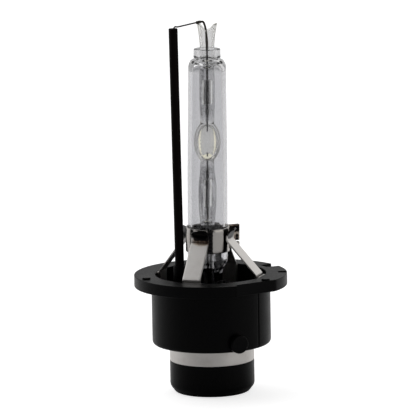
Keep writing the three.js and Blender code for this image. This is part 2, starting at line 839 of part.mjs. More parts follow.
// The lower lead: from the lower foil down through the stem's bore to the cap's axis and the contact.
function lowerLead() {
  const shankTop = webBottom - bond + contactShankHeight;
  return wire([
    [0, 0, webBottom - contactHeadHeight],
    [0, 0, shankTop + 2 * bond],
    aimed(0, 0, arcCentre + openBelow - 2.5),
    aimed(0, 0, arcCentre + openBelow + 0.3),
    aimed(0, 0, arcCentre + lowerFoilBottom - 2 * bond),
  ], leadDia);
}

// ---- Assembly ----

const sleeveInner = stemRadius + aimOffset(seat - stemBelowSeat) + 2 * bond;
const sleeveTop = plateBottom - bond;
const sleeve = tube(sleeveInner, sleeveInner + sleeveWall, webTop + bond, sleeveTop, 24);
const foil = (from, to) => block(0, 0, foilThickness, foilWidth, arcCentre + from, arcCentre + to);
const upperElectrode = electrode().translate(0, 0, arcCentre + foilFromCentre);
const lowerElectrode = electrode().rotateX(Math.PI).translate(0, 0, arcCentre - foilFromCentre);
const returnTube = tube(returnTubeBore / 2, returnTubeDia / 2, tubeBottom, seat + returnTubeTop, 16);

add(part, "cap_shell", capShell(), blackPlastic);
add(part, "nose_insulator", noseInsulator(), blackPlastic);
add(part, "contact_ring", contactRing(), nickel);
add(part, "centre_contact", centreContact(), nickel);
add(part, "well_plate", wellPlate(), innerPlastic);
add(part, "mounting_ring", mountingRing(), springSteel);
add(part, "insulating_sleeve", sleeve, paleCeramic);
[0, 90, 180, -90].forEach((angle, i) => {
  add(part, `support_finger_${i + 1}`, supportFinger(angle), springSteel, angle);
});
add(part, "return_tube", leaning(returnTube), ceramic);
add(part, "return_wire", returnWire(), nickel);
add(part, "lower_lead", lowerLead(), nickel);

add(burner, "outer_bulb", outerBulb(), clearGlass);
add(burner, "arc_tube", arcTube(), clearGlass);
add(burner, "halide_salts", halideSalts(), salt);
add(burner, "upper_electrode", upperElectrode, tungsten);
add(burner, "lower_electrode", lowerElectrode, tungsten);
add(burner, "upper_foil", foil(foilFromCentre, upperFoilTop), molybdenum, upperFoilAngle);
add(burner, "lower_foil", foil(lowerFoilBottom, -foilFromCentre), molybdenum, lowerFoilAngle);
add(burner, "upper_lead", upperLead(), nickel);
add(burner, "clamp_band", clampBand(), springSteel, earAngle);
add(burner, "lead_joint", leadJoint(), nickel);

export default part;
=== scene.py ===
import json
import math
import bmesh
import bpy
import numpy as np
from mathutils import Matrix, Vector


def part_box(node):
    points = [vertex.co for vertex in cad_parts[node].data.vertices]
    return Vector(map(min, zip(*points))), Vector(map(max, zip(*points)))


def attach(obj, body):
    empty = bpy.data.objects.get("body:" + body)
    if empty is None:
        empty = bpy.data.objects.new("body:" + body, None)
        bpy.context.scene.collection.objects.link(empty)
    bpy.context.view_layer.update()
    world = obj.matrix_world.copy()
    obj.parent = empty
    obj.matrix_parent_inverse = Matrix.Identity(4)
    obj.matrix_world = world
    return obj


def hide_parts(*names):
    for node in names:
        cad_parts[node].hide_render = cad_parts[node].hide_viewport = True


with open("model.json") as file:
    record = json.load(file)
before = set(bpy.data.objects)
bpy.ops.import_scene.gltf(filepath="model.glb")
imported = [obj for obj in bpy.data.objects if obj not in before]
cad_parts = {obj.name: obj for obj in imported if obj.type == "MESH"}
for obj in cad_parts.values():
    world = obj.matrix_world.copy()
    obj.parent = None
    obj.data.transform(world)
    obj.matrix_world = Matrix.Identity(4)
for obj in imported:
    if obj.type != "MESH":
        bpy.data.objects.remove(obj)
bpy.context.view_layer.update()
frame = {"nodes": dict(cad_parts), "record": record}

# A gas-discharge headlight bulb: socket cap, clamped clear bulb round an arc tube, ceramic return tube.
# Lengths in the dictionaries are millimetres, angles are degrees, heights stand over the nose's flat end
# unless they are said to stand over the seating plane.

scene = bpy.context.scene
mm = 0.001
record = frame["record"]
mountHeight = {m["name"]: m["pos_m"][2] / mm for m in record["mounts"]}
seat = mountHeight["seat_face"]
flangeBottom = mountHeight["flange_underside"]


# Camera, floor and light.

studio = {
    "azimuth": 20.0,
    "elevation": 10.0,
    "roll": -1.0,
    "distance": 900.0,
    "aimHeight": 38.25,
    "aimSide": 0.1,
    "frameWidth": 87.5,
    "sensor": 36.0,
    "floorSize": 30000.0,
    "floorGlow": 0.7,
    "mirrorDim": 0.5,
    # Brightness by bearing, from straight behind the bulb (0) to the camera's side (1).
    "surround": [(0.0, 1.0), (0.14, 0.95), (0.3, 0.55), (0.5, 0.2), (0.6, 0.05), (1.0, 0.02)],
}


def placeCamera(s):
    a, e = math.radians(s["azimuth"]), math.radians(s["elevation"])
    away = Vector((math.sin(a) * math.cos(e), -math.cos(a) * math.cos(e), math.sin(e)))
    data = bpy.data.cameras.new("camera")
    data.sensor_width = s["sensor"]
    data.lens = s["sensor"] * s["distance"] / s["frameWidth"]
    data.clip_start = 0.01
    camera = bpy.data.objects.new("camera", data)
    scene.collection.objects.link(camera)
    aimPoint = Vector((math.cos(a) * s["aimSide"], math.sin(a) * s["aimSide"], s["aimHeight"])) * mm
    camera.location = aimPoint + away * s["distance"] * mm
    turn = (-away).to_track_quat("-Z", "Y").to_matrix() @ Matrix.Rotation(math.radians(s["roll"]), 3, "Z")
    camera.rotation_euler = turn.to_euler()
    scene.camera = camera


placeCamera(studio)


# Small node helper.

class Nodes:
    # Adds shader nodes and links them, so that a material reads as a short list.
    def __init__(self, tree):
        self.tree = tree
        tree.nodes.clear()

    def add(self, kind, inputs=None, **settings):
        node = self.tree.nodes.new("ShaderNode" + kind)
        for key, value in settings.items():
            setattr(node, key, value)
        for key, value in (inputs or {}).items():
            socket = node.inputs[key]
            if isinstance(value, bpy.types.NodeSocket):
                self.tree.links.new(value, socket)
            else:
                socket.default_value = value
        return node

    def math(self, operation, *values):
        node = self.add("Math", operation=operation)
        for i, value in enumerate(values):
            if isinstance(value, bpy.types.NodeSocket):
                self.tree.links.new(value, node.inputs[i])
            else:
                node.inputs[i].default_value = value
        return node.outputs[0]

    def ramp(self, factor, stops):
        # A stop is a place and a colour, or a place and a number for a grey.
        node = self.add("ValToRGB", {"Fac": factor})
        while len(node.color_ramp.elements) < len(stops):
            node.color_ramp.elements.new(0.5)
        for element, (place, colour) in zip(node.color_ramp.elements, stops):
            element.position = place
            element.color = (*((colour,) * 3 if isinstance(colour, float) else colour), 1)
        return node.outputs["Color"]

    def noise(self, vector, scale, detail=4, roughness=0.55):
        inputs = {"Vector": vector, "Scale": scale, "Detail": detail, "Roughness": roughness}
        return self.add("TexNoise", inputs).outputs["Fac"]

    def stretched(self, vector, scale):
        return self.add("Mapping", {"Vector": vector, "Scale": scale}).outputs["Vector"]

    def mix(self, factor, a, b):
        node = self.add("Mix", data_type="RGBA")
        for socket, value in ((node.inputs[0], factor), (node.inputs[6], a), (node.inputs[7], b)):
            if isinstance(value, bpy.types.NodeSocket):
                self.tree.links.new(value, socket)
            else:
                socket.default_value = value if isinstance(value, float) else (*value, 1)
        return node.outputs[2]

    def bump(self, height, strength, distance, normal=None):
        inputs = {"Height": height, "Strength": strength, "Distance": distance}
        if normal is not None:
            inputs["Normal"] = normal
        return self.add("Bump", inputs).outputs["Normal"]


def newMaterial(name):
    material = bpy.data.materials.new(name)
    material.use_nodes = True
    return material, Nodes(material.node_tree)


def finishMaterial(n, inputs):
    shader = n.add("BsdfPrincipled", inputs)
    n.add("OutputMaterial", {"Surface": shader.outputs[0]})
    return shader


def surround(n, way, s):
    # How bright the studio is in a direction: bright cards behind, black cloth at the camera's side.
    a = math.radians(s["azimuth"])
    level = n.add("VectorMath", {0: way}, operation="NORMALIZE").outputs["Vector"]
    front = n.add("VectorMath", {0: level, 1: (math.sin(a), -math.cos(a), 0.0)}, operation="DOT_PRODUCT")
    light = n.ramp(n.math("MULTIPLY_ADD", front.outputs["Value"], 0.5, 0.5), s["surround"])
    dim = n.math("MULTIPLY", n.add("LightPath").outputs["Is Glossy Ray"], s["mirrorDim"])
    return n.mix(dim, light, (0.0, 0.0, 0.0))


def lightStudio(s):
    world = bpy.data.worlds.new("studio")
    scene.world = world
    world.use_nodes = True
    n = Nodes(world.node_tree)
    dark = surround(n, n.add("TexCoord").outputs["Generated"], s)
    colour = n.mix(n.add("LightPath").outputs["Is Camera Ray"], dark, (1.0, 1.0, 1.0))
    n.add("OutputWorld", {"Surface": n.add("Background", {"Color": colour}).outputs[0]})


def areaLight(name, place, target, size, power, colour):
    data = bpy.data.lights.new(name, "AREA")
    data.shape = "RECTANGLE"
    data.size, data.size_y = size
    data.energy = power
    data.color = colour
    light = bpy.data.objects.new(name, data)
    scene.collection.objects.link(light)
    light.location = place
    light.rotation_euler = (Vector(target) - Vector(place)).to_track_quat("-Z", "Y").to_euler()


def makeFloor(s):
    half = s["floorSize"] * mm / 2
    mesh = bpy.data.meshes.new("floor")
    corners = [(-half, -half, 0), (half, -half, 0), (half, half, 0), (-half, half, 0)]
    mesh.from_pydata(corners, [], [(0, 1, 2, 3)])
    floor = bpy.data.objects.new("floor", mesh)
    scene.collection.objects.link(floor)
    material, n = newMaterial("paleFloor")
    place = n.add("TexCoord").outputs["Object"]
    grain = n.noise(place, 40.0, 2)
    pale = n.mix(grain, (0.74, 0.74, 0.745), (0.76, 0.76, 0.765))
    # The floor glows for the eye. In glass and metal it is as bright as the studio in its direction.
    glow = n.mix(n.add("LightPath").outputs["Is Camera Ray"], surround(n, place, s), (1.0, 1.0, 1.0))
    finishMaterial(n, {"Base Color": pale, "Roughness": 0.9, "Specular IOR Level": 0.1,
                       "Emission Color": glow, "Emission Strength": s["floorGlow"]})
    mesh.materials.append(material)


lightStudio(studio)
makeFloor(studio)


def fromCamera(s, bearing, distance, height):
    # A place by its bearing from the camera's side, seen from above: positive bearings lie to the right.
    a = math.radians(s["azimuth"] - 90 + bearing)
    return distance * math.cos(a), distance * math.sin(a), height


# Bearings in degrees from the camera's side, distances, heights and sizes in metres, powers in watts.
lights = {
    "topSoftbox": {"bearing": -115, "distance": 0.36, "height": 0.85, "size": (0.9, 0.9), "power": 2.6,
                   "colour": (1, 1, 1)},
    "leftSoftbox": {"bearing": -100, "distance": 0.8, "height": 0.35, "size": (0.9, 0.8), "power": 1.2,
                    "colour": (1, 1, 1)},
    "rightSoftbox": {"bearing": 62, "distance": 0.8, "height": 0.3, "size": (0.8, 0.8), "power": 1.7,
                     "colour": (1.0, 0.985, 0.96)},
    "rearSoftbox": {"bearing": 148, "distance": 0.8, "height": 0.3, "size": (0.5, 0.5), "power": 0.4,
                    "colour": (1.0, 0.985, 0.96)},
}
lightTarget = (0, 0, 0.03)
for name, lamp in lights.items():
    place = fromCamera(studio, lamp["bearing"], lamp["distance"], lamp["height"])
    areaLight(name, place, lightTarget, lamp["size"], lamp["power"], lamp["colour"])
scene.view_settings.view_transform = "Standard"
scene.cycles.max_bounces = 24
scene.cycles.transmission_bounces = 20
scene.cycles.glossy_bounces = 8
scene.cycles.transparent_max_bounces = 12
print("studio set")


# Surfaces.

def polar(radius, degrees):
    return radius * np.cos(np.radians(degrees)), radius * np.sin(np.radians(degrees))


def rounded(points, radii, steps=5):
    # A closed outline whose corners are arcs: each corner's arc is a quadratic blend of the two points
    # that stand its radius back along the sides.
    points = np.array(points, float)
    radii = np.broadcast_to(np.array(radii, float), len(points))
    out = []
    t = np.linspace(0, 1, steps)[:, None]
    for i, (corner, radius) in enumerate(zip(points, radii)):
        before, after = points[i - 1] - corner, points[(i + 1) % len(points)] - corner
        lengthBefore, lengthAfter = np.hypot(*before), np.hypot(*after)
        back = min(radius, 0.45 * lengthBefore, 0.45 * lengthAfter)
        if back < 1e-6:
            out.append(corner[None])
            continue
        a, b = corner + before / lengthBefore * back, corner + after / lengthAfter * back
        out.append((1 - t) ** 2 * a + 2 * t * (1 - t) * corner + t ** 2 * b)
    return np.concatenate(out)


def smoothPath(points, perSpan=8):
    # Catmull-Rom through the points: a cubic per span whose ends lie on two of them.
    p = np.array(points, float)
    p = np.vstack([2 * p[0] - p[1], p, 2 * p[-1] - p[-2]])
    t = np.linspace(0, 1, perSpan, endpoint=False)[:, None, None]
    a, b, c, d = p[:-3], p[1:-2], p[2:-1], p[3:]
    square, cube = 2 * a - 5 * b + 4 * c - d, 3 * b - a - 3 * c + d
    path = 0.5 * (2 * b + (c - a) * t + square * t ** 2 + cube * t ** 3)
    return np.vstack([path.transpose(1, 0, 2).reshape(-1, p.shape[1]), p[-2]])


def turn(outline, around=160, angles=None):
    # (u, v) -> (r(v) cos u, r(v) sin u, z(v)): an outline of radius and height carried round the axis.
    u = np.linspace(0, 2 * np.pi, around, endpoint=False) if angles is None else np.radians(angles)
    r, z = outline[:, 0], outline[:, 1]
    grid = np.empty((len(u), len(r), 3))
    grid[..., 0] = np.cos(u)[:, None] * r
    grid[..., 1] = np.sin(u)[:, None] * r
    grid[..., 2] = z
    return grid


def tubeAlong(path, radius, sides=16):
    # (u, v) -> path(u) + radius(u) (cos v side(u) + sin v up(u)), with a frame carried along the path.
    path = np.array(path, float)
    radius = np.broadcast_to(np.array(radius, float), len(path))
    along = np.gradient(path, axis=0)
    along /= np.linalg.norm(along, axis=1)[:, None]
    side = np.cross(along[0], [0.0, 0.0, 1.0])
    if np.linalg.norm(side) < 0.1:
        side = np.cross(along[0], [1.0, 0.0, 0.0])
    sidesList = []
    for way in along:
        side = side - way * side.dot(way)
        side = side / np.linalg.norm(side)
        sidesList.append(side)
    side = np.array(sidesList)
    up = np.cross(along, side)
    v = np.linspace(0, 2 * np.pi, sides, endpoint=False)
    ring = np.cos(v)[None, :, None] * side[:, None] + np.sin(v)[None, :, None] * up[:, None]
    grid = path[:, None] + ring * radius[:, None, None]
    ends = [np.repeat(path[i][None], sides, 0)[None] for i in (0, -1)]
    return np.concatenate([ends[0], grid, ends[1]])


def gridFaces(nu, nv, closeU, closeV, start=0):
    u = np.arange(nu if closeU else nu - 1)[:, None]
    v = np.arange(nv if closeV else nv - 1)[None]
    at = lambda i, j: start + (i % nu) * nv + (j % nv)
    return np.stack([at(u, v), at(u + 1, v), at(u + 1, v + 1), at(u, v + 1)], -1).reshape(-1, 4)


def gridUv(grid):
    # Arc length along each way of the grid, in millimetres, from its first corner.
    alongU = np.linalg.norm(np.diff(grid, axis=0, prepend=grid[:1]), axis=2).mean(1).cumsum()
    alongV = np.linalg.norm(np.diff(grid, axis=1, prepend=grid[:, :1]), axis=2).max(0).cumsum()
    return np.stack(np.broadcast_arrays(alongU[:, None], alongV[None]), -1).reshape(-1, 2)


def makePiece(name, grids, material, nodes=(), keep=None, weighted=True):
    # Puts one or more grids of points into one mesh, and joins the points that lie on each other.
    # A grid is (points in millimetres, closed round u, closed round v).
    verts, faces, uvs = [], [], []
    count = 0
    for grid, closeU, closeV in grids:
        quads = gridFaces(grid.shape[0], grid.shape[1], closeU, closeV, count)
        if keep is not None:
            quads = quads[keep]
        verts.append(grid.reshape(-1, 3))
        uvs.append(gridUv(grid))
        faces.append(quads)
        count += grid.shape[0] * grid.shape[1]
    verts, faces, uvs = np.concatenate(verts) * mm, np.concatenate(faces), np.concatenate(uvs)
    mesh = bpy.data.meshes.new(name)
    mesh.vertices.add(len(verts))
    mesh.vertices.foreach_set("co", verts.astype(np.float32).ravel())
    mesh.loops.add(faces.size)
    mesh.loops.foreach_set("vertex_index", faces.astype(np.int32).ravel())
    mesh.polygons.add(len(faces))
    mesh.polygons.foreach_set("loop_start", np.arange(0, faces.size, 4, dtype=np.int32))
    layer = mesh.uv_layers.new(name="surface")
    layer.data.foreach_set("uv", uvs[faces.ravel()].astype(np.float32).ravel())
    mesh.update(calc_edges=True)
    mesh.validate()
    work = bmesh.new()
    work.from_mesh(mesh)
    bmesh.ops.remove_doubles(work, verts=work.verts, dist=2e-7)
    bmesh.ops.dissolve_degenerate(work, dist=1e-8, edges=work.edges)
    loose = [v for v in work.verts if not v.link_faces]
    bmesh.ops.delete(work, geom=loose, context="VERTS")
    bmesh.ops.recalc_face_normals(work, faces=work.faces)
    work.to_mesh(mesh)
    work.free()
    mesh.polygons.foreach_set("use_smooth", np.ones(len(mesh.polygons), bool))
    piece = bpy.data.objects.new(name, mesh)
    scene.collection.objects.link(piece)
    mesh.materials.append(material)
    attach(piece, "root")
    if nodes:
        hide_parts(*nodes)
    if weighted:
        piece.modifiers.new("evenShading", "WEIGHTED_NORMAL").keep_sharp = True
    return piece


def turnedAbout(grid, degrees):
    c, s = math.cos(math.radians(degrees)), math.sin(math.radians(degrees))
    return grid @ np.array([[c, s, 0], [-s, c, 0], [0, 0, 1]])


# How the burner was aimed.

aim = {"shift": 0.6, "angle": -160.0, "tilt": 0.8}


def aimed(points, a=aim):
    # Leans points about the seating plane, then shifts them across it.
    way = np.array([*polar(1.0, a["angle"]), 0.0])
    hinge = Vector(np.cross([0, 0, 1], way))
    lean = np.array(Matrix.Rotation(math.radians(-a["tilt"]), 3, hinge))
    foot = np.array([0, 0, seat])
    return (np.asarray(points, float) - foot) @ lean.T + foot + way * a["shift"]


# Finishes.

def plasticFinish(name, colour, grey, roughness):
    # Fine spark-eroded texture, faint cloudy wear, and a lighter grey on flat tops that is partly settled
    # dust and partly painted top light.
    material, n = newMaterial(name)
    place = n.add("TexCoord").outputs["Object"]
    clouds = n.noise(place, 180.0, 5)
    spots = n.noise(place, 2600.0, 3, 0.7)
    grain = n.noise(place, 5200.0, 2, 0.8)
    upward = n.add("SeparateXYZ", {0: n.add("NewGeometry").outputs["Normal"]}).outputs["Z"]
    top = n.math("SMOOTH_MIN", n.math("MAXIMUM", upward, 0.0), 1.0, 0.1)
    base = n.mix(n.math("MULTIPLY", clouds, 0.8), colour, tuple(c * 1.6 for c in colour))
    # Upward faces lean to the grey: partly dust, partly painted top light.
    dustAndTopLight = n.mix(n.math("MULTIPLY", n.math("POWER", top, 3.0), 0.85), base, grey)
    flecks = n.ramp(spots, [(0.62, 0.0), (0.74, 1.0)])
    speckled = n.mix(n.math("MULTIPLY", flecks, 0.03), dustAndTopLight, grey)
    rough = n.add("MapRange", {"Value": clouds, "To Min": roughness - 0.06, "To Max": roughness + 0.1})
    normal = n.bump(grain, 0.35, 0.00004, n.bump(spots, 0.25, 0.00006))
    finishMaterial(n, {"Base Color": speckled, "Roughness": rough.outputs[0], "Specular IOR Level": 0.07,
                       "Normal": normal})
    return material


def metalFinish(name, colour, tint, roughness, grain=(220.0, 8.0, 1.0), heatAndShade=None, mapped=True):
    # Drawn or rolled strip: long scratches across the surface's own map, patchy oxide and soft dents.
    # A CAD node has no such map, so there the scratches follow its own coordinates.
    material, n = newMaterial(name)
    place = n.add("TexCoord").outputs["Object"]
    strip = n.add("UVMap", uv_map="surface").outputs["UV"] if mapped else n.stretched(place, (1 / mm,) * 3)
    lines = n.noise(n.stretched(strip, grain), 1.0, 6, 0.7)
    patches = n.noise(place, 420.0, 4)
    dents = n.noise(place, 900.0, 3)
    shade = n.mix(n.math("MULTIPLY", lines, 0.55), colour, tuple(c * 0.72 for c in colour))
    shade = n.mix(n.ramp(patches, [(0.5, 0.0), (0.72, 0.6)]), shade, tint)
    # Weld colours and painted shade, when given, are laid over the steel's tone.
    if heatAndShade is not None:
        shade = heatAndShade(n, place, shade)
    rough = n.add("MapRange", {"Value": lines, "To Min": roughness - 0.08, "To Max": roughness + 0.12})
    normal = n.bump(lines, 0.22, 0.00003, n.bump(dents, 0.12, 0.00012))
    finishMaterial(n, {"Base Color": shade, "Metallic": 1.0, "Roughness": rough.outputs[0], "Normal": normal})
    return material


def nearness(n, place, spot, reach):
    # Distance from a spot in units of twice its reach, made ragged.
    gap = n.add("VectorMath", {0: place, 1: tuple(c * mm for c in spot)}, operation="DISTANCE")
    ragged = n.math("MULTIPLY", n.noise(place, 1500.0, 3), 0.25)
    return n.math("ADD", ragged, n.math("DIVIDE", gap.outputs["Value"], 2 * reach * mm))


def weldHeatAndShade(spots, paintedShade=()):
    # Brown and straw rings of temper colour round each weld, and near-black painted shade round the listed
    # spots, where the clamp's parts shadow and darkly reflect each other.
    def paint(n, place, shade):
        for spot, reach in spots:
            near = nearness(n, place, spot, reach)
            strength = n.ramp(near, [(0.2, 0.9), (0.45, 0.5), (0.66, 0.0)])
            temper = n.ramp(near, [(0.2, (0.012, 0.006, 0.005)), (0.34, (0.06, 0.026, 0.014)),
                                   (0.46, (0.22, 0.15, 0.1)), (0.6, (0.55, 0.5, 0.42))])
            shade = n.mix(strength, shade, temper)
        # Painted shade: near-black patches that stand in for shadow and dark reflection.
        for spot, reach in paintedShade:
            cover = n.ramp(nearness(n, place, spot, reach), [(0.57, 0.97), (0.67, 0.0)])
            shade = n.mix(cover, shade, (0.004, 0.004, 0.0045))
        return shade
    return paint


def between(n, height, zone):
    # 1 inside a zone of heights, falling to 0 over the last seventh of it.
    middle, half = zone
    off = n.math("ABSOLUTE", n.math("SUBTRACT", height, middle * mm))
    return n.ramp(n.math("DIVIDE", off, half * mm), [(0.86, 1.0), (1.0, 0.0)])


quartzIndex = 1.458


def glassFinish(name, g):
    # Fire-polished quartz: waves from the torch, a trace of film inside, and a body that dims what
    # passes through it. Zones are (middle height, half height, tone); a dark zone low down is painted
    # shade on the glass down in the cap's well.
    material, n = newMaterial(name)
    place = n.add("TexCoord").outputs["Object"]
    parts = n.add("SeparateXYZ", {0: place})
    height = parts.outputs["Z"]
    waves = n.noise(n.stretched(place, g["waveScale"]), 260.0, 2)
    film = n.noise(place, 330.0, 4)
    tone = n.mix(n.math("MULTIPLY", film, 0.7), g["colour"], g["haze"])
    for middle, half in g.get("streaked", ()):
        # Grey drawn streaks, stronger on the side where the torch stood.
        side = n.add("VectorMath", {0: place, 1: (*polar(1.0, g["sootSide"]), 0.0)}, operation="DOT_PRODUCT")
        lean = n.add("MapRange", {"Value": side.outputs["Value"], "From Min": -0.0012, "From Max": 0.0012,
                                  "To Min": 0.3, "To Max": 1.0})
        drawn = n.ramp(n.noise(n.stretched(place, (1.0, 1.0, 0.07)), 2600.0, 3), [(0.42, 0.0), (0.56, 1.0)])
        broken = n.ramp(n.noise(place, 1100.0, 3), [(0.3, 0.2), (0.5, 1.0)])
        marks = n.math("MULTIPLY", n.math("MULTIPLY", drawn, broken), lean.outputs[0])
        tone = n.mix(n.math("MULTIPLY", marks, between(n, height, (middle, half))), tone, (0.22, 0.22, 0.225))
    for middle, half, other in g["zones"]:
        patchy = n.mix(film, other, tuple(c * 0.94 for c in other))
        tone = n.mix(between(n, height, (middle, half)), tone, patchy)
    finish = {"Base Color": tone, "Roughness": 0.0, "IOR": quartzIndex, "Transmission Weight": 1.0,
              "Normal": n.bump(waves, 0.2, g["waveDepth"])}
    if "gentle" in g:
        # The vessel and the horn bend light less than quartz does, which keeps their outlines pale.
        vessel, horn = [between(n, height, zone) for zone in g["gentle"]]
        inside = n.math("MAXIMUM", vessel, horn)
        index = n.add("MapRange", {"Value": inside, "To Min": quartzIndex, "To Max": g["gentleIndex"]})
        finish["IOR"] = index.outputs[0]
        finish["Sheen Weight"] = n.math("MULTIPLY", inside, g["bloom"])
        finish["Sheen Tint"] = (1.0, 0.97, 0.86, 1.0)
    shader = n.add("BsdfPrincipled", finish)
    dimmed = n.add("VolumeAbsorption", {"Color": (0.5, 0.5, 0.515, 1), "Density": g["density"]})
    n.add("OutputMaterial", {"Surface": shader.outputs[0], "Volume": dimmed.outputs[0]})
    return material


def ceramicFinish(name, colour, tint, roughness, gloss=0.3):
    # Extruded unglazed ceramic: faint lengthwise drag lines and pits.
    material, n = newMaterial(name)
    place = n.add("TexCoord").outputs["Object"]
    drag = n.noise(n.stretched(place, (1.0, 1.0, 0.03)), 2600.0, 3)
    pits = n.noise(place, 3800.0, 3, 0.8)
    shade = n.mix(drag, colour, tint)
    rough = n.add("MapRange", {"Value": pits, "To Min": roughness - 0.1, "To Max": roughness + 0.1})
    normal = n.bump(pits, 0.4, 0.00005, n.bump(drag, 0.2, 0.00004))
    finishMaterial(n, {"Base Color": shade, "Roughness": rough.outputs[0], "Specular IOR Level": gloss,
                       "Normal": normal})
    return material


def foilFinish(name, width, glow):
    # Etched foil: a grey middle, and edges given a near-white colour and a glow, a painted highlight along
    # the foil's edges.
    material, n = newMaterial(name)
    parts = n.add("SeparateXYZ", {0: n.add("UVMap", uv_map="surface").outputs["UV"]})
    across = n.math("FRACT", n.math("DIVIDE", parts.outputs["Y"], width))
    place = n.add("TexCoord").outputs["Object"]
    etched = n.noise(n.stretched(place, (1.0, 1.0, 0.3)), 3000.0, 4, 0.7)
    fromEdge = n.math("ABSOLUTE", n.math("SUBTRACT", across, 0.5))
    rim = n.ramp(fromEdge, [(0.3, 0.0), (0.36, 1.0)])
    middle = n.mix(n.math("MULTIPLY", etched, 0.6), (0.16, 0.16, 0.165), (0.34, 0.34, 0.35))
    # Painted highlight: the rim turns near-white, loses its metal and glows.
    shade = n.mix(rim, middle, (0.97, 0.97, 0.96))
    finishMaterial(n, {"Base Color": shade, "Metallic": n.math("SUBTRACT", 0.6, n.math("MULTIPLY", rim, 0.6)),
                       "Roughness": 0.4, "Emission Color": (1.0, 1.0, 0.98, 1.0),
                       "Emission Strength": n.math("MULTIPLY", rim, glow),
                       "Normal": n.bump(etched, 0.3, 0.00003)})
    return material


def saltFinish(name, glow):
    # Frosted halide crystals: cream and grainy, with a painted glow that stands in for the light reaching
    # them through the glass.
    material, n = newMaterial(name)
    grains = n.noise(n.add("TexCoord").outputs["Object"], 5200.0, 4, 0.7)
    tone = n.mix(grains, (0.93, 0.9, 0.77), (0.99, 0.98, 0.92))
    finishMaterial(n, {"Base Color": tone, "Roughness": 0.6, "IOR": 1.2, "Transmission Weight": 0.35,
                       "Emission Color": tone, "Emission Strength": glow,
                       "Normal": n.bump(grains, 0.4, 0.00006)})
    return material


capBlack = plasticFinish("mouldedBlackPlastic", (0.0004, 0.0004, 0.0006), (0.006, 0.006, 0.0063), 0.32)
wellBlack = plasticFinish("wellBlackPlastic", (0.0004, 0.0004, 0.0005), (0.001, 0.001, 0.001), 0.4)
contactMetal = metalFinish("contactStrip", (0.76, 0.735, 0.71), (0.6, 0.57, 0.54), 0.4, (6.0, 190.0, 1.0))
leadMetal = metalFinish("oxidisedWire", (0.05, 0.044, 0.04), (0.02, 0.014, 0.011), 0.36, (30.0, 6.0, 1.0))
tungstenMetal = metalFinish("tungstenRod", (0.16, 0.16, 0.165), (0.09, 0.09, 0.1), 0.45, (60.0, 20.0, 1.0))
clearQuartz = glassFinish("clearQuartz", {
    "colour": (0.84, 0.84, 0.852), "haze": (0.8, 0.8, 0.815), "density": 170.0,
    "waveScale": (1.0, 1.0, 0.35), "waveDepth": 0.0001,
    # The low dark zone is painted shade on the bulb's foot inside the well.
    "zones": [(seat + 46.2, 2.2, (1.0, 1.0, 1.0)), (seat - 3.0, 5.0, (0.34, 0.34, 0.35))],
})
arcQuartz = glassFinish("arcTubeQuartz", {
    "colour": (0.82, 0.82, 0.82), "haze": (0.7, 0.7, 0.7), "density": 60.0,
    "waveScale": (2.2, 2.2, 0.25), "waveDepth": 0.0004,
    "streaked": [(seat + 38.3, 5.6), (seat + 16.5, 6.5)], "sootSide": -150.0,
    "zones": [(seat + 27.8, 4.7, (1.0, 1.0, 0.985)), (seat + 48.6, 4.6, (0.93, 0.93, 0.93)),
              # The low dark zone is painted shade on the tube's foot inside the well.
              (seat - 6.0, 8.0, (0.2, 0.2, 0.21))],
    "gentle": [(seat + 27.8, 4.9), (seat + 50.5, 3.0)], "gentleIndex": 1.22, "bloom": 0.8,
})
blackCeramic = ceramicFinish("blackCeramic", (0.002, 0.0008, 0.0008), (0.004, 0.0015, 0.0012), 0.55, 0.06)
paleCeramic = ceramicFinish("paleCeramic", (0.62, 0.59, 0.52), (0.7, 0.68, 0.62), 0.6)
halideSalt = saltFinish("halideSalt", 0.38)
print("finishes made")


# Socket cap.

capSizes = {
    "bodyRadius": 12.42,
    "bodyBottom": 10.15,
    "bodyFillet": 0.9,
    "wellRadius": 11.6,
    "wellDepth": 7.2,
    "boreRadius": 10.92,
    "floorTop": 11.9,
    "holeRadius": 8.9,
    "edge": 0.18,
    "keyway": {"angle": 51.0, "width": 2.8, "depth": 3.0},
    "index": {"angle": 20.0, "width": 1.7, "depth": 1.9},
    "flat": {"angle": -38.0, "start": -50.0, "inset": 1.5},
    "bossAngles": (-138.0, -18.0, 102.0),
    "bossInset": 1.6,
    "bossRadius": 0.875,
    "bossHeight": 0.35,
    "lugAngles": (-45.0, 135.0),
    "lugRadius": 1.95,
    "lugReach": 1.5,
    "mouldLines": (-18.0, 162.0),
    "mouldLineDepth": 0.2,
    "mouldLineWidth": 0.16,
}


def easedStep(x):
    x = np.clip(x, 0, 1)
    return x * x * (3 - 2 * x)


def apart(angles, middle):
    return (angles - middle + 180) % 360 - 180


def rimRadius(angles, outer, s):
    # The flange's radius at each angle: full, less the two slots, and no further than the flat allows.
    rim = np.full(len(angles), outer)
    soft = 0.35
    for slot in (s["keyway"], s["index"]):
        half = math.degrees(slot["width"] / 2 / (outer - slot["depth"] / 2))
        inside = easedStep((half + soft / 2 - np.abs(apart(angles, slot["angle"]))) / soft)
        rim -= slot["depth"] * inside
    flat = s["flat"]
    off = apart(angles, flat["angle"])
    chord = (outer - flat["inset"]) / np.cos(np.radians(np.clip(off, -60, 60)))
    started = easedStep((apart(angles, flat["start"]) + soft / 2) / soft)
    onFlat = (np.abs(off) < 60) & (chord < outer)
    return np.where(onFlat, rim - (outer - chord) * started, rim)


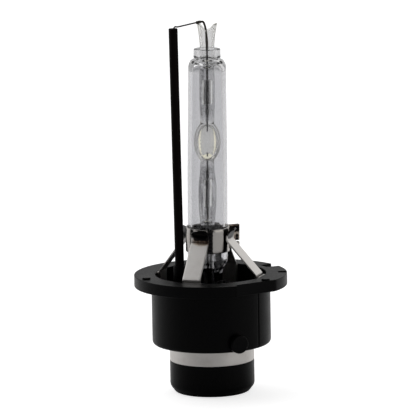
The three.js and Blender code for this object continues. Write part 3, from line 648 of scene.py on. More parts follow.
def capAngles(s):
    # Even steps round the cap, with close ones at each edge that needs them.
    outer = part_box("cap_shell")[1][0] / mm
    edges = [s["flat"]["start"]]
    for slot in (s["keyway"], s["index"]):
        half = math.degrees(slot["width"] / 2 / (outer - slot["depth"] / 2))
        edges += [slot["angle"] - half, slot["angle"] + half]
    close = np.array([-0.6, -0.3, -0.175, -0.1, 0.0, 0.1, 0.175, 0.3, 0.6])
    lines = np.array([-2.0, -1.4, -1.0, -0.7, -0.45, -0.2, 0.0, 0.2, 0.45, 0.7, 1.0, 1.4, 2.0])
    extra = np.concatenate([e + close for e in edges] + [m + lines for m in s["mouldLines"]])
    even = np.arange(-180, 180, 1.25)
    clear = np.min(np.abs(apart(even[:, None], extra[None])), axis=1) > 0.35
    return np.sort((np.concatenate([even[clear], extra]) + 180) % 360 - 180)


def makeCap(s):
    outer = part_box("cap_shell")[1][0] / mm
    wellFloor = seat - s["wellDepth"]
    corners = [
        ((s["wellRadius"], seat), 0.15),
        ((outer, seat), s["edge"]),
        ((outer, flangeBottom), s["edge"]),
        ((s["bodyRadius"], flangeBottom), 0.25),
        ((s["bodyRadius"], s["bodyBottom"]), s["bodyFillet"]),
        ((s["holeRadius"], s["bodyBottom"]), 0.12),
        ((s["holeRadius"], s["floorTop"]), 0.1),
        ((s["boreRadius"], s["floorTop"]), 0.2),
        ((s["boreRadius"], wellFloor), 0.1),
        ((s["wellRadius"], wellFloor), 0.1),
    ]
    outline = rounded([c for c, _ in corners], [r for _, r in corners], 7)
    angles = capAngles(s)
    grid = turn(outline, angles=angles)
    r = np.broadcast_to(outline[:, 0], grid.shape[:2]).copy()
    z = outline[:, 1]
    # The flange's ring is drawn in where the rim is cut: r -> a + (r - a)(R(u) - a)/(outer - a).
    a = s["bodyRadius"] + 0.15
    scale = (rimRadius(angles, outer, s)[:, None] - a) / (outer - a)
    r = np.where(r > a, a + (r - a) * scale, r)
    # Mould lines are narrow bell-shaped grooves down the body: depth exp(-(arc / width)^2).
    onBody = (z < flangeBottom - 0.1) & (z > s["bodyBottom"] + 0.05) & (outline[:, 0] > s["bodyRadius"] - 0.3)
    for line in s["mouldLines"]:
        arc = np.radians(apart(angles, line)) * s["bodyRadius"]
        r -= s["mouldLineDepth"] * np.exp(-(arc / s["mouldLineWidth"]) ** 2)[:, None] * onBody
    u = np.radians(angles)[:, None]
    grid[..., 0], grid[..., 1] = np.cos(u) * r, np.sin(u) * r
    grids = [(grid, True, True)]
    dome = rounded([(0, 0), (s["bossRadius"], 0), (s["bossRadius"], s["bossHeight"] + 0.4),
                    (0, s["bossHeight"] + 0.4)], [0, 0, 0.16, 0], 6)
    for angle in s["bossAngles"]:
        x, y = polar(outer - s["bossInset"], angle)
        grids.append((turn(dome, 40) + [x, y, seat - 0.4], True, False))
    length = s["lugReach"] + 1.0
    peg = rounded([(0, 0), (s["lugRadius"], 0), (s["lugRadius"] - 0.04, length), (0, length)],
                  [0, 0, 0.3, 0], 7)
    for angle in s["lugAngles"]:
        lug = turn(peg, 64)[..., [2, 1, 0]] * [1, -1, 1]
        lug = lug + [s["bodyRadius"] - 1.0, 0, s["bodyBottom"] + s["lugRadius"]]
        grids.append((turnedAbout(lug, angle), True, False))
    return makePiece("socketCap", grids, capBlack, ["cap_shell"])


makeCap(capSizes)

noseSizes = {
    "radius": 8.85,
    "height": 6.7,
    "chamfer": 1.1,
    "chamferHeight": 1.4,
    "seatRadius": 8.4,
    "collarRadius": 10.87,
    "collarBottom": 11.95,
    "collarTop": 13.7,
    "socketRadius": 4.2,
    "socketDepth": 7.0,
    "hollowRadius": 6.5,
    "webTop": 8.5,
    "shankHole": 1.25,
}


def makeNose(s):
    corners = [
        ((s["shankHole"], s["socketDepth"]), 0.05),
        ((s["socketRadius"], s["socketDepth"]), 0.25),
        ((s["socketRadius"], 0), 0.3),
        ((s["radius"] - s["chamfer"], 0), 0.2),
        ((s["radius"], s["chamferHeight"]), 0.6),
        ((s["radius"], s["height"] - 0.05), 0.1),
        ((s["seatRadius"], s["height"] - 0.05), 0.05),
        ((s["seatRadius"], s["collarBottom"]), 0.1),
        ((s["collarRadius"], s["collarBottom"]), 0.15),
        ((s["collarRadius"], s["collarTop"]), 0.2),
        ((s["hollowRadius"], s["collarTop"]), 0.2),
        ((s["hollowRadius"], s["webTop"]), 0.3),
        ((s["shankHole"], s["webTop"]), 0.1),
    ]
    outline = rounded([c for c, _ in corners], [r for _, r in corners], 7)
    return makePiece("noseInsulator", [(turn(outline, 192), True, True)], capBlack,
                     ["nose_insulator"])


makeNose(noseSizes)

ringSizes = {"radius": 8.85, "thickness": 0.4, "bottom": 6.7, "top": 11.9, "tabWidth": 3.0, "tabRise": 3.6,
             "tabThickness": 0.28, "tabAngle": -135.0}


def roundedBar(size, centre, radius=0.06, steps=4):
    # (u, v): a rounded rectangle carried up a bar, closed by its own shrunken ends.
    w, d, h = size
    outline = rounded([(-w / 2, -d / 2), (w / 2, -d / 2), (w / 2, d / 2), (-w / 2, d / 2)], radius, steps)
    rows = []
    for z, grow in ((-h / 2, 0.0), (-h / 2, 1 - radius / w), (-h / 2 + radius, 1.0),
                    (h / 2 - radius, 1.0), (h / 2, 1 - radius / w), (h / 2, 0.0)):
        rows.append(np.column_stack([outline * grow, np.full(len(outline), z)]))
    return np.array(rows) + centre


def makeContactRing(s):
    inner = s["radius"] - s["thickness"]
    # The band dips a hair at mid height, as drawn strip does when it is rolled round.
    z = np.linspace(s["bottom"], s["top"], 9)
    dip = -0.02 * np.sin(np.pi * (z - z[0]) / (z[-1] - z[0]))
    corners = [(inner, s["bottom"])] + list(zip(s["radius"] + dip, z)) + [(inner, s["top"])]
    outline = rounded(corners, 0.07, 5)
    x = math.sqrt(s["radius"] ** 2 - (s["tabWidth"] / 2) ** 2) - s["tabThickness"] / 2
    tabHeight = s["tabRise"] + 1
    tab = roundedBar((s["tabThickness"], s["tabWidth"], tabHeight), [x, 0, s["top"] - 1 + tabHeight / 2])
    grids = [(turn(outline, 192), True, True), (turnedAbout(tab, s["tabAngle"]), False, True)]
    return makePiece("contactRing", grids, contactMetal, ["contact_ring"])


makeContactRing(ringSizes)

contactSizes = {"headRadius": 2.6, "headTop": 6.95, "headHeight": 0.6, "shankRadius": 1.2, "shankHeight": 3.3,
                "bore": 0.25}


def makeCentreContact(s):
    bottom = s["headTop"] - s["headHeight"]
    corners = [
        ((s["bore"], bottom - 0.25), 0.03),
        ((s["headRadius"] * 0.55, bottom - 0.2), 0.4),
        ((s["headRadius"], bottom + 0.1), 0.2),
        ((s["headRadius"], s["headTop"]), 0.08),
        ((s["shankRadius"], s["headTop"]), 0.08),
        ((s["shankRadius"], s["headTop"] + s["shankHeight"]), 0.2),
        ((s["bore"], s["headTop"] + s["shankHeight"]), 0.03),
    ]
    outline = rounded([c for c, _ in corners], [r for _, r in corners], 6)
    return makePiece("centreContact", [(turn(outline, 72), True, True)], contactMetal,
                     ["centre_contact"])


makeCentreContact(contactSizes)
print("cap made")


# Glass.

# Heights over the seating plane.
bulbSizes = {
    "low": 4.17, "high": 3.92, "wall": 0.85, "foot": 3.1, "footCurve": 1.6, "start": 2.8, "end": 43.6,
    "taperFrom": 22.0, "below": 3.0, "shoulder": 1.7, "crown": 2.8, "crownHeight": 2.0, "groove": 0.25,
    "footHole": 1.65, "topHole": 1.57,
}


def makeOuterBulb(s):
    # The outside is a smooth curve through its turning points, and the inside follows a wall within it.
    neckTop = s["start"] - 1.5 * s["footCurve"]
    outside = [
        (s["foot"], -s["below"]), (s["foot"], -1.6), (s["foot"], neckTop - 0.4),
        (s["foot"] + 0.12, neckTop + 0.25),
        (s["low"] - 0.72, s["start"] - 1.35), (s["low"] - 0.22, s["start"] - 0.72),
        (s["low"], s["start"] + 0.1),
        (s["low"], s["start"] + 3), (s["low"], s["taperFrom"] - 8), (s["low"], s["taperFrom"]),
        ((s["low"] + s["high"]) / 2, (s["taperFrom"] + s["end"]) / 2), (s["high"] + 0.03, s["end"] - 2),
        (s["high"], s["end"]), (s["high"] - 0.2, s["end"] + s["shoulder"] * 0.45),
        (s["crown"] + 0.5, s["end"] + s["shoulder"] * 0.8),
        (s["crown"] - s["groove"], s["end"] + s["shoulder"]),
        (s["crown"] + 0.02, s["end"] + s["shoulder"] + 0.2), (s["crown"], s["end"] + s["shoulder"] + 0.5),
        (s["crown"] - 0.02, s["end"] + s["shoulder"] + s["crownHeight"] - 0.3),
        (s["crown"] - 0.06, s["end"] + s["shoulder"] + s["crownHeight"] - 0.08),
        (s["crown"] - 0.2, s["end"] + s["shoulder"] + s["crownHeight"]),
    ]
    top = s["end"] + s["shoulder"] + s["crownHeight"]
    inside = [
        (s["topHole"] + 0.1, top - 0.02), (s["topHole"], top - 0.3),
        (s["topHole"], s["end"] + s["shoulder"] * 0.8),
        (s["topHole"] + 0.5, s["end"] + s["shoulder"] * 0.4), (s["high"] - s["wall"] - 0.3, s["end"] + 0.2),
        (s["high"] - s["wall"], s["end"] - 0.8), (s["high"] - s["wall"] + 0.02, s["end"] - 4),
        (s["low"] - s["wall"], s["taperFrom"]), (s["low"] - s["wall"], s["start"] + 2),
        (s["low"] - s["wall"], s["start"] + 0.3),
        (s["low"] - s["wall"] - 0.45, s["start"] - s["footCurve"] / 2),
        (s["footHole"] + 0.3, neckTop + 0.5), (s["footHole"], neckTop - 0.3),
        (s["footHole"], -s["below"] + 0.1),
    ]
    outline = np.vstack([smoothPath(outside, 6), smoothPath(inside, 6)])
    grid = turn(outline, 144)
    # The crown was pressed by hand, so it is a hair out of round.
    pressed = easedStep((grid[..., 2] - s["end"] - s["shoulder"]) / 0.6)
    u = np.arctan2(grid[..., 1], grid[..., 0])
    outer = np.hypot(grid[..., 0], grid[..., 1]) > s["topHole"] + 0.3
    grid[..., :2] *= (1 + 0.012 * pressed * np.cos(3 * u + 0.6) * outer)[..., None]
    grid[..., 2] += seat
    return makePiece("outerBulb", [(aimed(grid), True, True)], clearQuartz, ["outer_bulb"],
                     weighted=False)


makeOuterBulb(bulbSizes)

# Heights over the seating plane, or from the light centre where a foil, a seal or the chamber is meant.
arcSizes = {
    "light": 27.8, "vessel": 2.75, "vesselHalf": 4.4, "chamber": 1.85, "chamberHalf": 3.6, "stem": 1.6,
    "seal": 1.85,
    "below": 12.0, "horn": 2.03, "hornHeight": 5.1, "hornTop": 52.6, "notch": 1.4, "notchAngle": -70.0,
    "bore": 1.0, "leadHole": 0.25, "rodHole": 0.2, "foilFrom": 8.0, "upperFoil": 4.9,
    "lowerFoil": 5.5, "past": 3.0, "coil": 2.4, "topNeck": 1.52, "cavity": 0.38, "cavityFrom": 6.2,
    "neckFrom": 43.6, "boreFrom": 45.3,
}


def domed(wide, narrow, base, rise):
    # A quarter ellipse that closes a bore of one radius down to another.
    t = np.linspace(0, math.pi / 2, 8)
    return [(narrow + (wide - narrow) * math.cos(a), base + rise * math.sin(a)) for a in t]


def capsule(s, top, bottom):
    # The narrow space along a foil and its electrode, with rounded ends: from top to bottom on the axis.
    return [*domed(s["cavity"], s["leadHole"], top - 0.4, 0.4)[::-1],
            *domed(s["cavity"], s["leadHole"], bottom + 0.4, -0.4)]


def makeArcTube(s):
    light = s["light"]
    w = np.linspace(-0.86, 0.86, 33)
    egg = np.column_stack([s["vessel"] * np.sqrt(1 - w ** 2), light + s["vesselHalf"] * w])
    upperTop, lowerEnd = s["foilFrom"] + s["upperFoil"], s["foilFrom"] + s["lowerFoil"]
    openAbove, openBelow = light + upperTop + s["past"], light - lowerEnd - s["past"]
    lowSide = [(s["stem"], -s["below"] + 0.1), (s["stem"], 0.0), (s["stem"], openBelow - 2),
               (s["stem"], openBelow),
               (s["seal"], light - lowerEnd), (s["seal"] + 0.02, light - 10),
               (s["seal"] - 0.12, light - s["foilFrom"]),
               (s["seal"] - 0.35, light - 6.2), (s["seal"] - 0.4, light - 5.1)]
    highSide = [(s["stem"] - 0.14, light + 4.9), (s["stem"] - 0.08, light + 6.0), (s["stem"], light + 8.2),
                (s["stem"], light + upperTop), (s["topNeck"], s["neckFrom"]),
                (s["topNeck"], s["hornTop"] - s["hornHeight"]),
                (s["topNeck"] + 0.1, s["hornTop"] - 3.6), (s["horn"] - 0.26, s["hornTop"] - 1.9),
                (s["horn"] - 0.04, s["hornTop"] - 0.25), (s["horn"] - 0.1, s["hornTop"])]
    outside = np.vstack([smoothPath(lowSide, 6), egg, smoothPath(highSide, 6)])
    c = np.linspace(-0.985, 0.985, 31)
    cave = np.column_stack([s["chamber"] * np.sqrt(1 - c ** 2), light + s["chamberHalf"] * c])
    cave = cave[cave[:, 0] > s["rodHole"]][::-1]
    downs = [(s["horn"] - 0.5, s["hornTop"] - 0.1), (s["horn"] - 0.62, s["hornTop"] - 0.9),
             (s["bore"] + 0.15, s["hornTop"] - 3.0), (s["bore"], s["hornTop"] - s["hornHeight"]),
             (s["bore"], s["boreFrom"]),
             *domed(s["bore"], s["leadHole"], openAbove + 1.0, -1.0),
             (s["leadHole"], light + upperTop + 0.35),
             *capsule(s, light + upperTop + 0.3, light + s["cavityFrom"]), (s["rodHole"], cave[0, 1] + 0.02)]
    ups = [(s["rodHole"], cave[-1, 1] - 0.02), *capsule(s, light - s["cavityFrom"], light - lowerEnd - 0.3),
           (s["leadHole"], light - lowerEnd - 0.35),
           *domed(s["bore"], s["leadHole"], openBelow - 1.0, 1.0)[::-1],
           (s["bore"], openBelow - 1.3), (s["bore"], -s["below"])]
    outline = np.vstack([outside, downs, cave, ups, [(s["stem"] - 0.08, -s["below"])]])
    grid = turn(outline, 96)
    # The horn's rim dips across one way, as where the tube was cut with a torch: depth h^3 |cos u|^3.
    u = np.arctan2(grid[..., 1], grid[..., 0])
    high = np.clip((grid[..., 2] - (s["hornTop"] - s["hornHeight"])) / s["hornHeight"], 0, 1)
    dip = np.cos(u - math.radians(s["notchAngle"])) ** 2
    grid[..., 2] -= s["notch"] * high ** 3 * dip ** 1.5
    grid[..., :2] *= (1 + 0.05 * high ** 2 * (1 - 2 * dip))[..., None]
    grid[..., 2] += seat
    return makePiece("arcTube", [(aimed(grid), True, True)], arcQuartz, ["arc_tube"],
                     weighted=False)


makeArcTube(arcSizes)


def makeSalts(s, f):
    # A pool whose edge wanders: its height rises and falls round the wall.
    low, high = [seat + s["light"] - s["chamberHalf"] * share for share in (0.93, 0.72)]
    z = np.linspace(low, high, 10)
    wall = (s["chamber"] * np.sqrt(1 - ((z - seat - s["light"]) / s["chamberHalf"]) ** 2)) - 0.07
    outline = np.vstack([[(0.2, low)], np.column_stack([wall, z]), [(0.75, high - 0.25), (0.2, high - 0.45)]])
    grid = turn(outline, 72)
    u = np.arctan2(grid[..., 1], grid[..., 0])
    share = (grid[..., 2] - low) / (high - low)
    grid[..., 2] -= 0.18 * share * (1 + np.sin(3 * u) * 0.6 + np.sin(7 * u + 1) * 0.4)
    grids = [(aimed(grid), True, True)]
    # Film: crescents on the wall, widest at mid height, each a closed loop of an outer and an inner skin.
    for angle in f["filmAngles"]:
        height = np.linspace(-f["filmReach"], f["filmReach"], 41)[:, None]
        half = f["filmHalfWidth"] * np.sqrt(1 - (height / (f["filmReach"] * 1.02)) ** 2)
        across = np.linspace(-1, 1, 15)[None]
        turned = np.radians(angle + half * across * (1 + 0.25 * np.sin(9 * height + 3 * across)))
        radius = s["chamber"] * np.sqrt(1 - (height / s["chamberHalf"]) ** 2)
        skins = []
        for gap in (0.03, 0.03 + f["filmThickness"]):
            r = radius - gap
            skins.append(np.stack(np.broadcast_arrays(r * np.cos(turned), r * np.sin(turned),
                                                      seat + s["light"] + height), -1))
        loop = np.concatenate([skins[0], skins[1][:, ::-1]], axis=1)
        ends = [np.repeat(loop[k].mean(0)[None], loop.shape[1], 0)[None] for k in (0, -1)]
        grids.append((aimed(np.concatenate([ends[0], loop, ends[1]])), False, True))
    return makePiece("halideSalts", grids, halideSalt, ["halide_salts"])


saltSizes = {"filmAngles": (-160.0, 20.0), "filmReach": 2.6, "filmHalfWidth": 30.0, "filmThickness": 0.05}
makeSalts(arcSizes, saltSizes)

electrodeSizes = {"rod": 0.15, "tipFromFoil": 5.9, "coilWire": 0.055, "coilRadius": 0.235, "turns": 16}


def makeElectrode(name, node, way, e=electrodeSizes, s=arcSizes):
    # A rod with a domed tip, and a helix wound on it: (R cos t, R sin t, pitch t).
    reach = e["tipFromFoil"]
    outline = np.array([(0, -reach), (0.09, -reach + 0.02), (0.14, -reach + 0.07), (e["rod"], -reach + 0.15),
                        (e["rod"], -s["coil"]), (e["rod"], -0.3), (e["rod"] - 0.02, -0.05), (0, -0.05)])
    t = np.linspace(0, 2 * np.pi * e["turns"], e["turns"] * 14)
    drop = -s["coil"] + 0.15 + (s["coil"] - 0.4) * t / t[-1]
    helix = np.column_stack([e["coilRadius"] * np.cos(t), e["coilRadius"] * np.sin(t), drop])
    base = seat + s["light"] + way * s["foilFrom"]
    place = lambda grid: aimed(grid * [1, 1, way] + [0, 0, base])
    grids = [(place(turn(outline, 32)), True, False),
             (place(tubeAlong(helix, e["coilWire"], 8)), False, True)]
    return makePiece(name, grids, tungstenMetal, [node])


makeElectrode("upperElectrode", "upper_electrode", 1)
makeElectrode("lowerElectrode", "lower_electrode", -1)

foilSizes = {"width": 1.45, "thickness": 0.1, "edge": 0.012, "glow": 0.75}
foilMetal = foilFinish("sealedFoil", foilSizes["width"], foilSizes["glow"])


def makeFoil(name, node, low, high, angle, f=foilSizes):
    # Lens-shaped in section, thin at its etched edges, with faint ripples along it.
    x = np.linspace(-1, 1, 17)
    z = np.linspace(0, 1, 41)
    half = f["edge"] + (f["thickness"] / 2 - f["edge"]) * (1 - x ** 2)
    ripple = 0.012 * np.sin(z[:, None] * 38 + x * 1.5) * np.sin(np.pi * z)[:, None]
    face = lambda side: np.stack(np.broadcast_arrays(side * half + ripple, x * f["width"] / 2,
                                                     seat + low + (high - low) * z[:, None]), -1)
    loop = np.concatenate([face(1), face(-1)[:, ::-1]], axis=1)
    middle = loop.mean(1, keepdims=True)
    ends = [np.repeat(middle[i][None], loop.shape[1], 1) for i in (0, -1)]
    grid = np.concatenate([ends[0], loop, ends[1]])
    return makePiece(name, [(aimed(turnedAbout(grid, angle)), False, True)], foilMetal, [node])


lightAt, foilFrom = arcSizes["light"], arcSizes["foilFrom"]
makeFoil("upperFoil", "upper_foil", lightAt + foilFrom, lightAt + foilFrom + arcSizes["upperFoil"], -70)
makeFoil("lowerFoil", "lower_foil", lightAt - foilFrom - arcSizes["lowerFoil"], lightAt - foilFrom, -25)
print("glass and its innards made")


# Clamp and fingers.

# Heights over the seating plane. The finger set aside is moved across itself, by millimetres.
clampSizes = {
    "bandInner": 4.22, "sheet": 0.35, "bottom": 4.8, "height": 5.1, "earAngle": 45.0, "earLength": 2.65,
    "earGap": 0.05, "slit": 0.3, "slitLength": 1.25, "slitHeight": 1.4,
    "scorched": -90.0, "setAside": {-90.0: -0.4}, "overlap": (-57.0, -25.0), "overlapThickness": 0.14,
    "fingerWidth": 3.9, "grip": 7.2, "flare": 2.1, "tip": 10.0, "corner": 1.3, "bend": 0.6,
    "footTop": 0.3, "footDepth": 4.2, "footRadius": 10.62, "footBend": 0.3,
}


def aimOffset(overSeat):
    return aim["shift"] - overSeat * math.tan(math.radians(aim["tilt"]))


def solidify(piece, thickness, bevel):
    wall = piece.modifiers.new("sheetThickness", "SOLIDIFY")
    wall.thickness = thickness * mm
    wall.offset = 0
    edges = piece.modifiers.new("sheetEdges", "BEVEL")
    edges.width = bevel * mm
    edges.segments = 2
    edges.limit_method = "ANGLE"
    edges.angle_limit = math.radians(50)
    piece.modifiers.new("evenShading", "WEIGHTED_NORMAL").keep_sharp = True


heatAndShadeSizes = {
    # Radius, angle, height over the seating plane and reach of each coloured spot on the band.
    "bandSpots": (
        (4.57, -90.0, 7.6, 1.3), (4.57, 0.0, 7.4, 1.2), (4.57, 14.0, 8.6, 1.5), (4.57, 27.0, 8.2, 1.6),
        (4.57, 90.0, 7.6, 1.2), (4.57, 180.0, 7.6, 1.2), (5.4, 44.0, 9.4, 1.7), (6.6, 45.0, 9.5, 1.9),
        (6.5, 43.0, 7.2, 0.9), (6.2, 43.0, 5.4, 0.9),
    ),
    # Radius, angle, reach, lowest and highest height of each stripe of painted shade, where the fingers and
    # the ear shadow the band and darken its reflection.
    "bandPaintedShade": (
        (4.6, -64.0, 0.62, 5.2, 9.5), (4.6, -16.0, 0.8, 5.2, 8.2), (5.3, 43.0, 0.75, 9.0, 9.5),
        (6.1, 43.0, 0.75, 9.0, 9.5), (6.9, 43.0, 0.75, 9.0, 9.5), (6.6, 42.0, 0.35, 5.4, 7.6),
    ),
    "paintedShadeStep": 0.7,
    # On the scorched finger: place across it and reach of each coloured spot.
    "tabSpots": ((-1.4, 0.9), (-0.9, 1.0), (-0.45, 1.1), (0.0, 1.35), (0.45, 1.1), (0.9, 1.0), (1.4, 0.9)),
    "tabSpotRise": 0.35,
    # On every finger's tip: place outwards and height of each row of painted shade, standing for the dark
    # reflection of the rolled tip, and the places across it.
    "tipPaintedShade": ((0.2, 8.6), (0.75, 9.3)),
    "tipPaintedShadeAcross": (-0.95, 0.0, 0.95),
    "tipPaintedShadeReach": 1.05,
}


def bandSpot(radius, angle, height):
    return tuple(aimed([*polar(radius, angle), seat + height]))


# The band's weld colours, then its stripes of painted shade beside the fingers and the ear.
bandHeatAndShade = weldHeatAndShade(
    [(bandSpot(r, a, z), reach) for r, a, z, reach in heatAndShadeSizes["bandSpots"]],
    [(bandSpot(r, a, z), reach) for r, a, reach, lowest, highest in heatAndShadeSizes["bandPaintedShade"]
     for z in np.arange(lowest, highest, heatAndShadeSizes["paintedShadeStep"])],
)
bandSteel = metalFinish("clampBandSteel", (0.5, 0.48, 0.455), (0.34, 0.3, 0.26), 0.17, (10.0, 150.0, 1.0),
                        bandHeatAndShade)


def makeBand(s):
    # The strip's middle line: out along one ear, round the bulb and back along the other ear.
    mid = s["bandInner"] + s["sheet"] / 2
    side = s["earGap"] / 2 + s["sheet"] / 2
    opening = math.degrees(math.asin(side / mid))
    end = mid + s["sheet"] / 2 + s["earLength"]
    ear = np.linspace(end, mid + 0.35, 26)
    ring = np.radians(np.linspace(opening + 3.5, 360 - opening - 3.5, 150))
    first = np.column_stack([ear, np.full(len(ear), side)])
    middle = np.column_stack([mid * np.cos(ring), mid * np.sin(ring)])
    path = np.vstack([first, middle, first[::-1] * [1, -1]])
    z = np.unique(np.concatenate([np.linspace(0, s["height"], 18),
                                  [s["slitHeight"], s["slitHeight"] + s["slit"]]]))
    grid = np.empty((len(path), len(z), 3))
    grid[..., :2] = path[:, None]
    grid[..., 2] = z + seat + s["bottom"]
    grid = turnedAbout(grid, s["earAngle"])

    # The slit that splits each ear's end leaves out the faces of one row.
    far = np.linalg.norm(grid[..., :2].mean(1), axis=1) > end - s["slitLength"]
    inSlit = (z > s["slitHeight"] - 0.01) & (z < s["slitHeight"] + s["slit"] - 0.01)
    solid = ~((far[:-1] & far[1:])[:, None] & inSlit[:-1][None]).reshape(-1)
    piece = makePiece("clampBand", [(aimed(grid), False, False)], bandSteel, ["clamp_band"],
                      keep=solid, weighted=False)
    solidify(piece, s["sheet"] - 0.01, 0.05)
    # The strip's doubled end: a second, thinner skin over part of the band.
    over = np.radians(np.linspace(*s["overlap"], 24))
    r = s["bandInner"] + s["sheet"] + s["overlapThickness"] / 2
    z = np.linspace(0.06, s["height"] - 0.06, 8) + seat + s["bottom"]
    skin = np.stack(np.broadcast_arrays((r * np.cos(over))[:, None], (r * np.sin(over))[:, None], z[None]),
                    -1)
    end = makePiece("clampOverlap", [(aimed(skin), False, False)], bandSteel, weighted=False)
    solidify(end, s["overlapThickness"], 0.03)


makeBand(clampSizes)


def fingerLine(s, angle):
    # Radius and height down the middle of a finger: foot, slope, bend at the band and flared tip.
    reach = aimOffset(s["grip"]) * math.cos(math.radians(angle - aim["angle"]))
    grip = s["bandInner"] + s["sheet"] + reach + 0.1 + s["sheet"] / 2
    foot = s["footRadius"]
    slope = math.atan2(s["grip"] - s["footTop"], foot - grip)
    r = s["footBend"]
    setBack = r * math.tan((math.pi / 2 - slope) / 2)
    low = np.linspace(0, math.pi / 2 - slope, 7)
    lowBend = np.column_stack([foot - r + r * np.cos(low), s["footTop"] - setBack + r * np.sin(low)])
    innerZ = s["grip"] + s["bend"] * 0.5
    inner = np.linspace(1.5 * math.pi - slope, math.pi, 7)
    innerBend = np.column_stack([grip + s["bend"] + s["bend"] * np.cos(inner),
                                 innerZ + s["bend"] * np.sin(inner)])
    flare = np.radians(np.linspace(172, 115, 12))
    squash = (s["tip"] - s["grip"]) / (s["flare"] + s["bend"])
    flareZ = innerZ + 0.2 + s["flare"] * np.sin(flare)
    tip = np.column_stack([grip + s["flare"] + s["flare"] * np.cos(flare),
                           s["grip"] + (flareZ - s["grip"]) * squash])
    start = np.column_stack([np.full(8, foot), np.linspace(-s["footDepth"], lowBend[0, 1] - 0.15, 8)])
    run = lowBend[-1] + (innerBend[0] - lowBend[-1]) * np.linspace(0.06, 0.94, 16)[:, None]
    return np.vstack([start, lowBend, run, innerBend, tip])


def makeFinger(name, node, angle, s, material):
    line = fingerLine(s, angle)
    top = line[-1, 1]
    # Half the width at each height: full, then a quarter circle in from each side at the tip.
    fromTop = np.clip(top - line[:, 1], 0, s["corner"])
    inset = s["corner"] - np.sqrt(s["corner"] ** 2 - (s["corner"] - fromTop) ** 2)
    half = s["fingerWidth"] / 2 - inset
    across = np.linspace(-1, 1, 15)
    grid = np.empty((len(line), len(across), 3))
    grid[..., 0] = line[:, :1]
    grid[..., 1] = half[:, None] * across + s["setAside"].get(angle, 0.0)
    grid[..., 2] = line[:, 1:] + seat
    # Rolled strip is a little dished across its width.
    grid[..., 0] += 0.03 * (1 - across ** 2)
    piece = makePiece(name, [(turnedAbout(grid, angle), False, False)], material, [node],
                      weighted=False)
    solidify(piece, s["sheet"] - 0.04, 0.05)
    return piece


def fingerHeatAndShade(angle, s, h):
    # The places of a finger's coloured spots and painted shade, turned to the finger's angle.
    out = s["bandInner"] + 0.8 + aimOffset(s["grip"]) * math.cos(math.radians(angle - aim["angle"]))
    at = lambda far, across, high: tuple(turnedAbout(np.array([out + far, across, seat + high]), angle))
    spots = h["tabSpots"] if angle == s["scorched"] else ()
    welds = [(at(0.0, across, s["grip"] + h["tabSpotRise"]), reach) for across, reach in spots]
    # Painted shade on every finger's rolled tip, where it reflects dark.
    paintedShade = [(at(far, across, high), h["tipPaintedShadeReach"])
            for far, high in h["tipPaintedShade"] for across in h["tipPaintedShadeAcross"]]
    return weldHeatAndShade(welds, paintedShade)


for i, angle in enumerate((0.0, 90.0, 180.0, -90.0)):
    steel = metalFinish(f"fingerSteel{i + 1}", (0.65, 0.63, 0.61), (0.54, 0.515, 0.49), 0.3,
                        (9.0, 260.0, 1.0), fingerHeatAndShade(angle, clampSizes, heatAndShadeSizes))
    makeFinger(f"supportFinger{i + 1}", f"support_finger_{i + 1}", angle, clampSizes, steel)
print("clamp made")


# Return conductor and leads.

# The top, the bridge and the swelling are over the seating plane, the plate and collar over the nose's end.
returnSizes = {
    "angle": -135.0, "radius": 7.0, "lean": 0.6, "tubeRadius": 0.94, "bore": 0.3, "top": 52.0, "wire": 0.16,
    "lead": 0.22, "swell": 0.3, "swellAt": 48.6, "bridge": 53.0, "jointAt": 1.9, "jointLength": 1.1,
    "jointRadius": 0.34, "slope": 0.12,
    "plateTop": 19.65, "plateBottom": 18.15, "collarTop": 13.7,
}


def beside(radius, height, s=returnSizes):
    return np.array([*polar(radius, s["angle"]), height])


def bridgeHeight(radius, s=returnSizes):
    return seat + s["bridge"] - s["slope"] * (radius - 1)


def returnAxis(height, s=returnSizes):
    bottom = s["plateBottom"] - 1
    lean = s["lean"] / (seat + s["top"] - bottom)
    return beside(s["radius"] + (height - s["plateTop"]) * lean, height)


def makeReturnTube(s):
    # An extruded tube with eased ends, carried along its leaning axis.
    low, high = s["plateBottom"] - 1, seat + s["top"]
    length = high - low
    outline = rounded([(s["bore"], 0), (s["tubeRadius"], 0), (s["tubeRadius"], length), (s["bore"], length)],
                      [0.05, 0.08, 0.14, 0.06], 6)
    grid = turn(outline, 48)
    foot, head = returnAxis(low), returnAxis(high)
    grid[..., :2] += foot[:2] + (head - foot)[:2] * (grid[..., 2:] / length)
    grid[..., 2] += low
    return makePiece("returnTube", [(grid, True, True)], blackCeramic, ["return_tube"])


makeReturnTube(returnSizes)


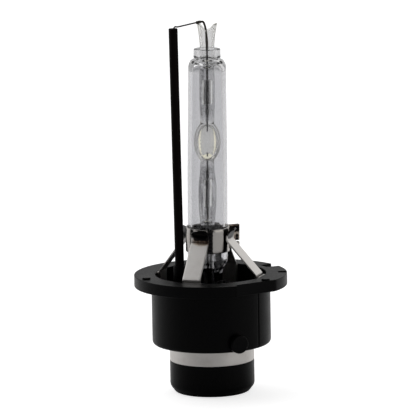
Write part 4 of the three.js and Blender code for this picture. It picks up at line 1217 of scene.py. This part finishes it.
def makeLeads(s, arc):
    tubeTop, tubeBottom = seat + s["top"], s["plateBottom"] - 1
    at = s["jointAt"]
    start = seat + arc["light"] + arc["foilFrom"] + arc["upperFoil"] + 0.1
    bridge = seat + s["bridge"]
    upper = [[0, 0, start], [0, 0, seat + arc["hornTop"] - arc["hornHeight"]], beside(0.1, bridge - 3.4),
             beside(0.18, bridge - 2.4), beside(0.32, bridge - 1.5), beside(0.54, bridge - 0.7),
             beside(0.82, bridge - 0.14), beside(1.25, bridgeHeight(1.25)), beside(at, bridgeHeight(at))]
    # The lead swells where it was nicked and wetted in the horn: r (1 + swell exp(-(z/1.5)^2)).
    path = smoothPath(upper, 10)
    swollen = s["lead"] * (1 + s["swell"] * np.exp(-((path[:, 2] - seat - s["swellAt"]) / 1.5) ** 2))
    makePiece("upperLead", [(aimed(tubeAlong(path, swollen, 16)), False, True)], leadMetal,
              ["upper_lead"])
    topRadius = np.hypot(*returnAxis(tubeTop)[:2])
    weldRadius = (math.sqrt(ringSizes["radius"] ** 2 - (ringSizes["tabWidth"] / 2) ** 2)
                  - ringSizes["tabThickness"] - 0.2)
    wire = [aimed(beside(at + 0.1, bridgeHeight(at + 0.1))),
            aimed(beside(at + s["jointLength"], bridgeHeight(at + s["jointLength"]))),
            beside(topRadius - 1.2, bridgeHeight(topRadius - 0.7)), beside(topRadius - 0.5, tubeTop + 0.35),
            returnAxis(tubeTop - 0.4), returnAxis(tubeTop - 2), returnAxis(tubeTop - 20),
            returnAxis(tubeBottom + 20),
            returnAxis(tubeBottom + 0.5), returnAxis(tubeBottom - 0.4),
            beside((s["radius"] + weldRadius) / 2, tubeBottom - 1.1), beside(weldRadius, tubeBottom - 1.9),
            beside(weldRadius, s["collarTop"] + 0.3)]
    makePiece("returnWire", [(tubeAlong(smoothPath(wire, 10), s["wire"], 14), False, True)], leadMetal,
              ["return_wire"])
    # The joint's sleeve is nipped twice: its radius dips where the tool bit.
    along = np.linspace(-0.5, 0.5, 31)
    nip = 0.07 * (np.exp(-((along - 0.22) / 0.07) ** 2) + np.exp(-((along + 0.22) / 0.07) ** 2))
    ends = np.sqrt(np.clip(1 - (np.abs(along) / 0.505) ** 12, 0.05, 1))
    middle = beside(at + 0.05, bridgeHeight(at + 0.05))
    way = beside(1.0, -s["slope"]) / math.hypot(1, s["slope"])
    sleevePath = middle + along[:, None] * s["jointLength"] * way
    makePiece("leadJoint", [(aimed(tubeAlong(sleevePath, s["jointRadius"] * ends - nip, 20)), False, True)],
              leadMetal, ["lead_joint"])
    lower = [[0, 0, 6.4], [0, 0, 8.5], [0, 0, 10.35], *aimed([
        [0, 0, seat + 3.0], [0, 0, seat + 8.8], [0, 0, seat + 11.6],
        [0, 0, seat + arc["light"] - arc["foilFrom"] - arc["lowerFoil"] - 0.1]])]
    makePiece("lowerLead", [(tubeAlong(smoothPath(lower, 10), s["lead"], 14), False, True)], leadMetal,
              ["lower_lead"])


makeLeads(returnSizes, arcSizes)


def coat(node, material):
    slots = frame["nodes"][node].data.materials
    slots.clear()
    slots.append(material)


coat("well_plate", wellBlack)
coat("mounting_ring", metalFinish("mountingRingSteel", (0.56, 0.54, 0.52), (0.4, 0.38, 0.36), 0.35,
                                  mapped=False))
coat("insulating_sleeve", paleCeramic)
print("leads made")
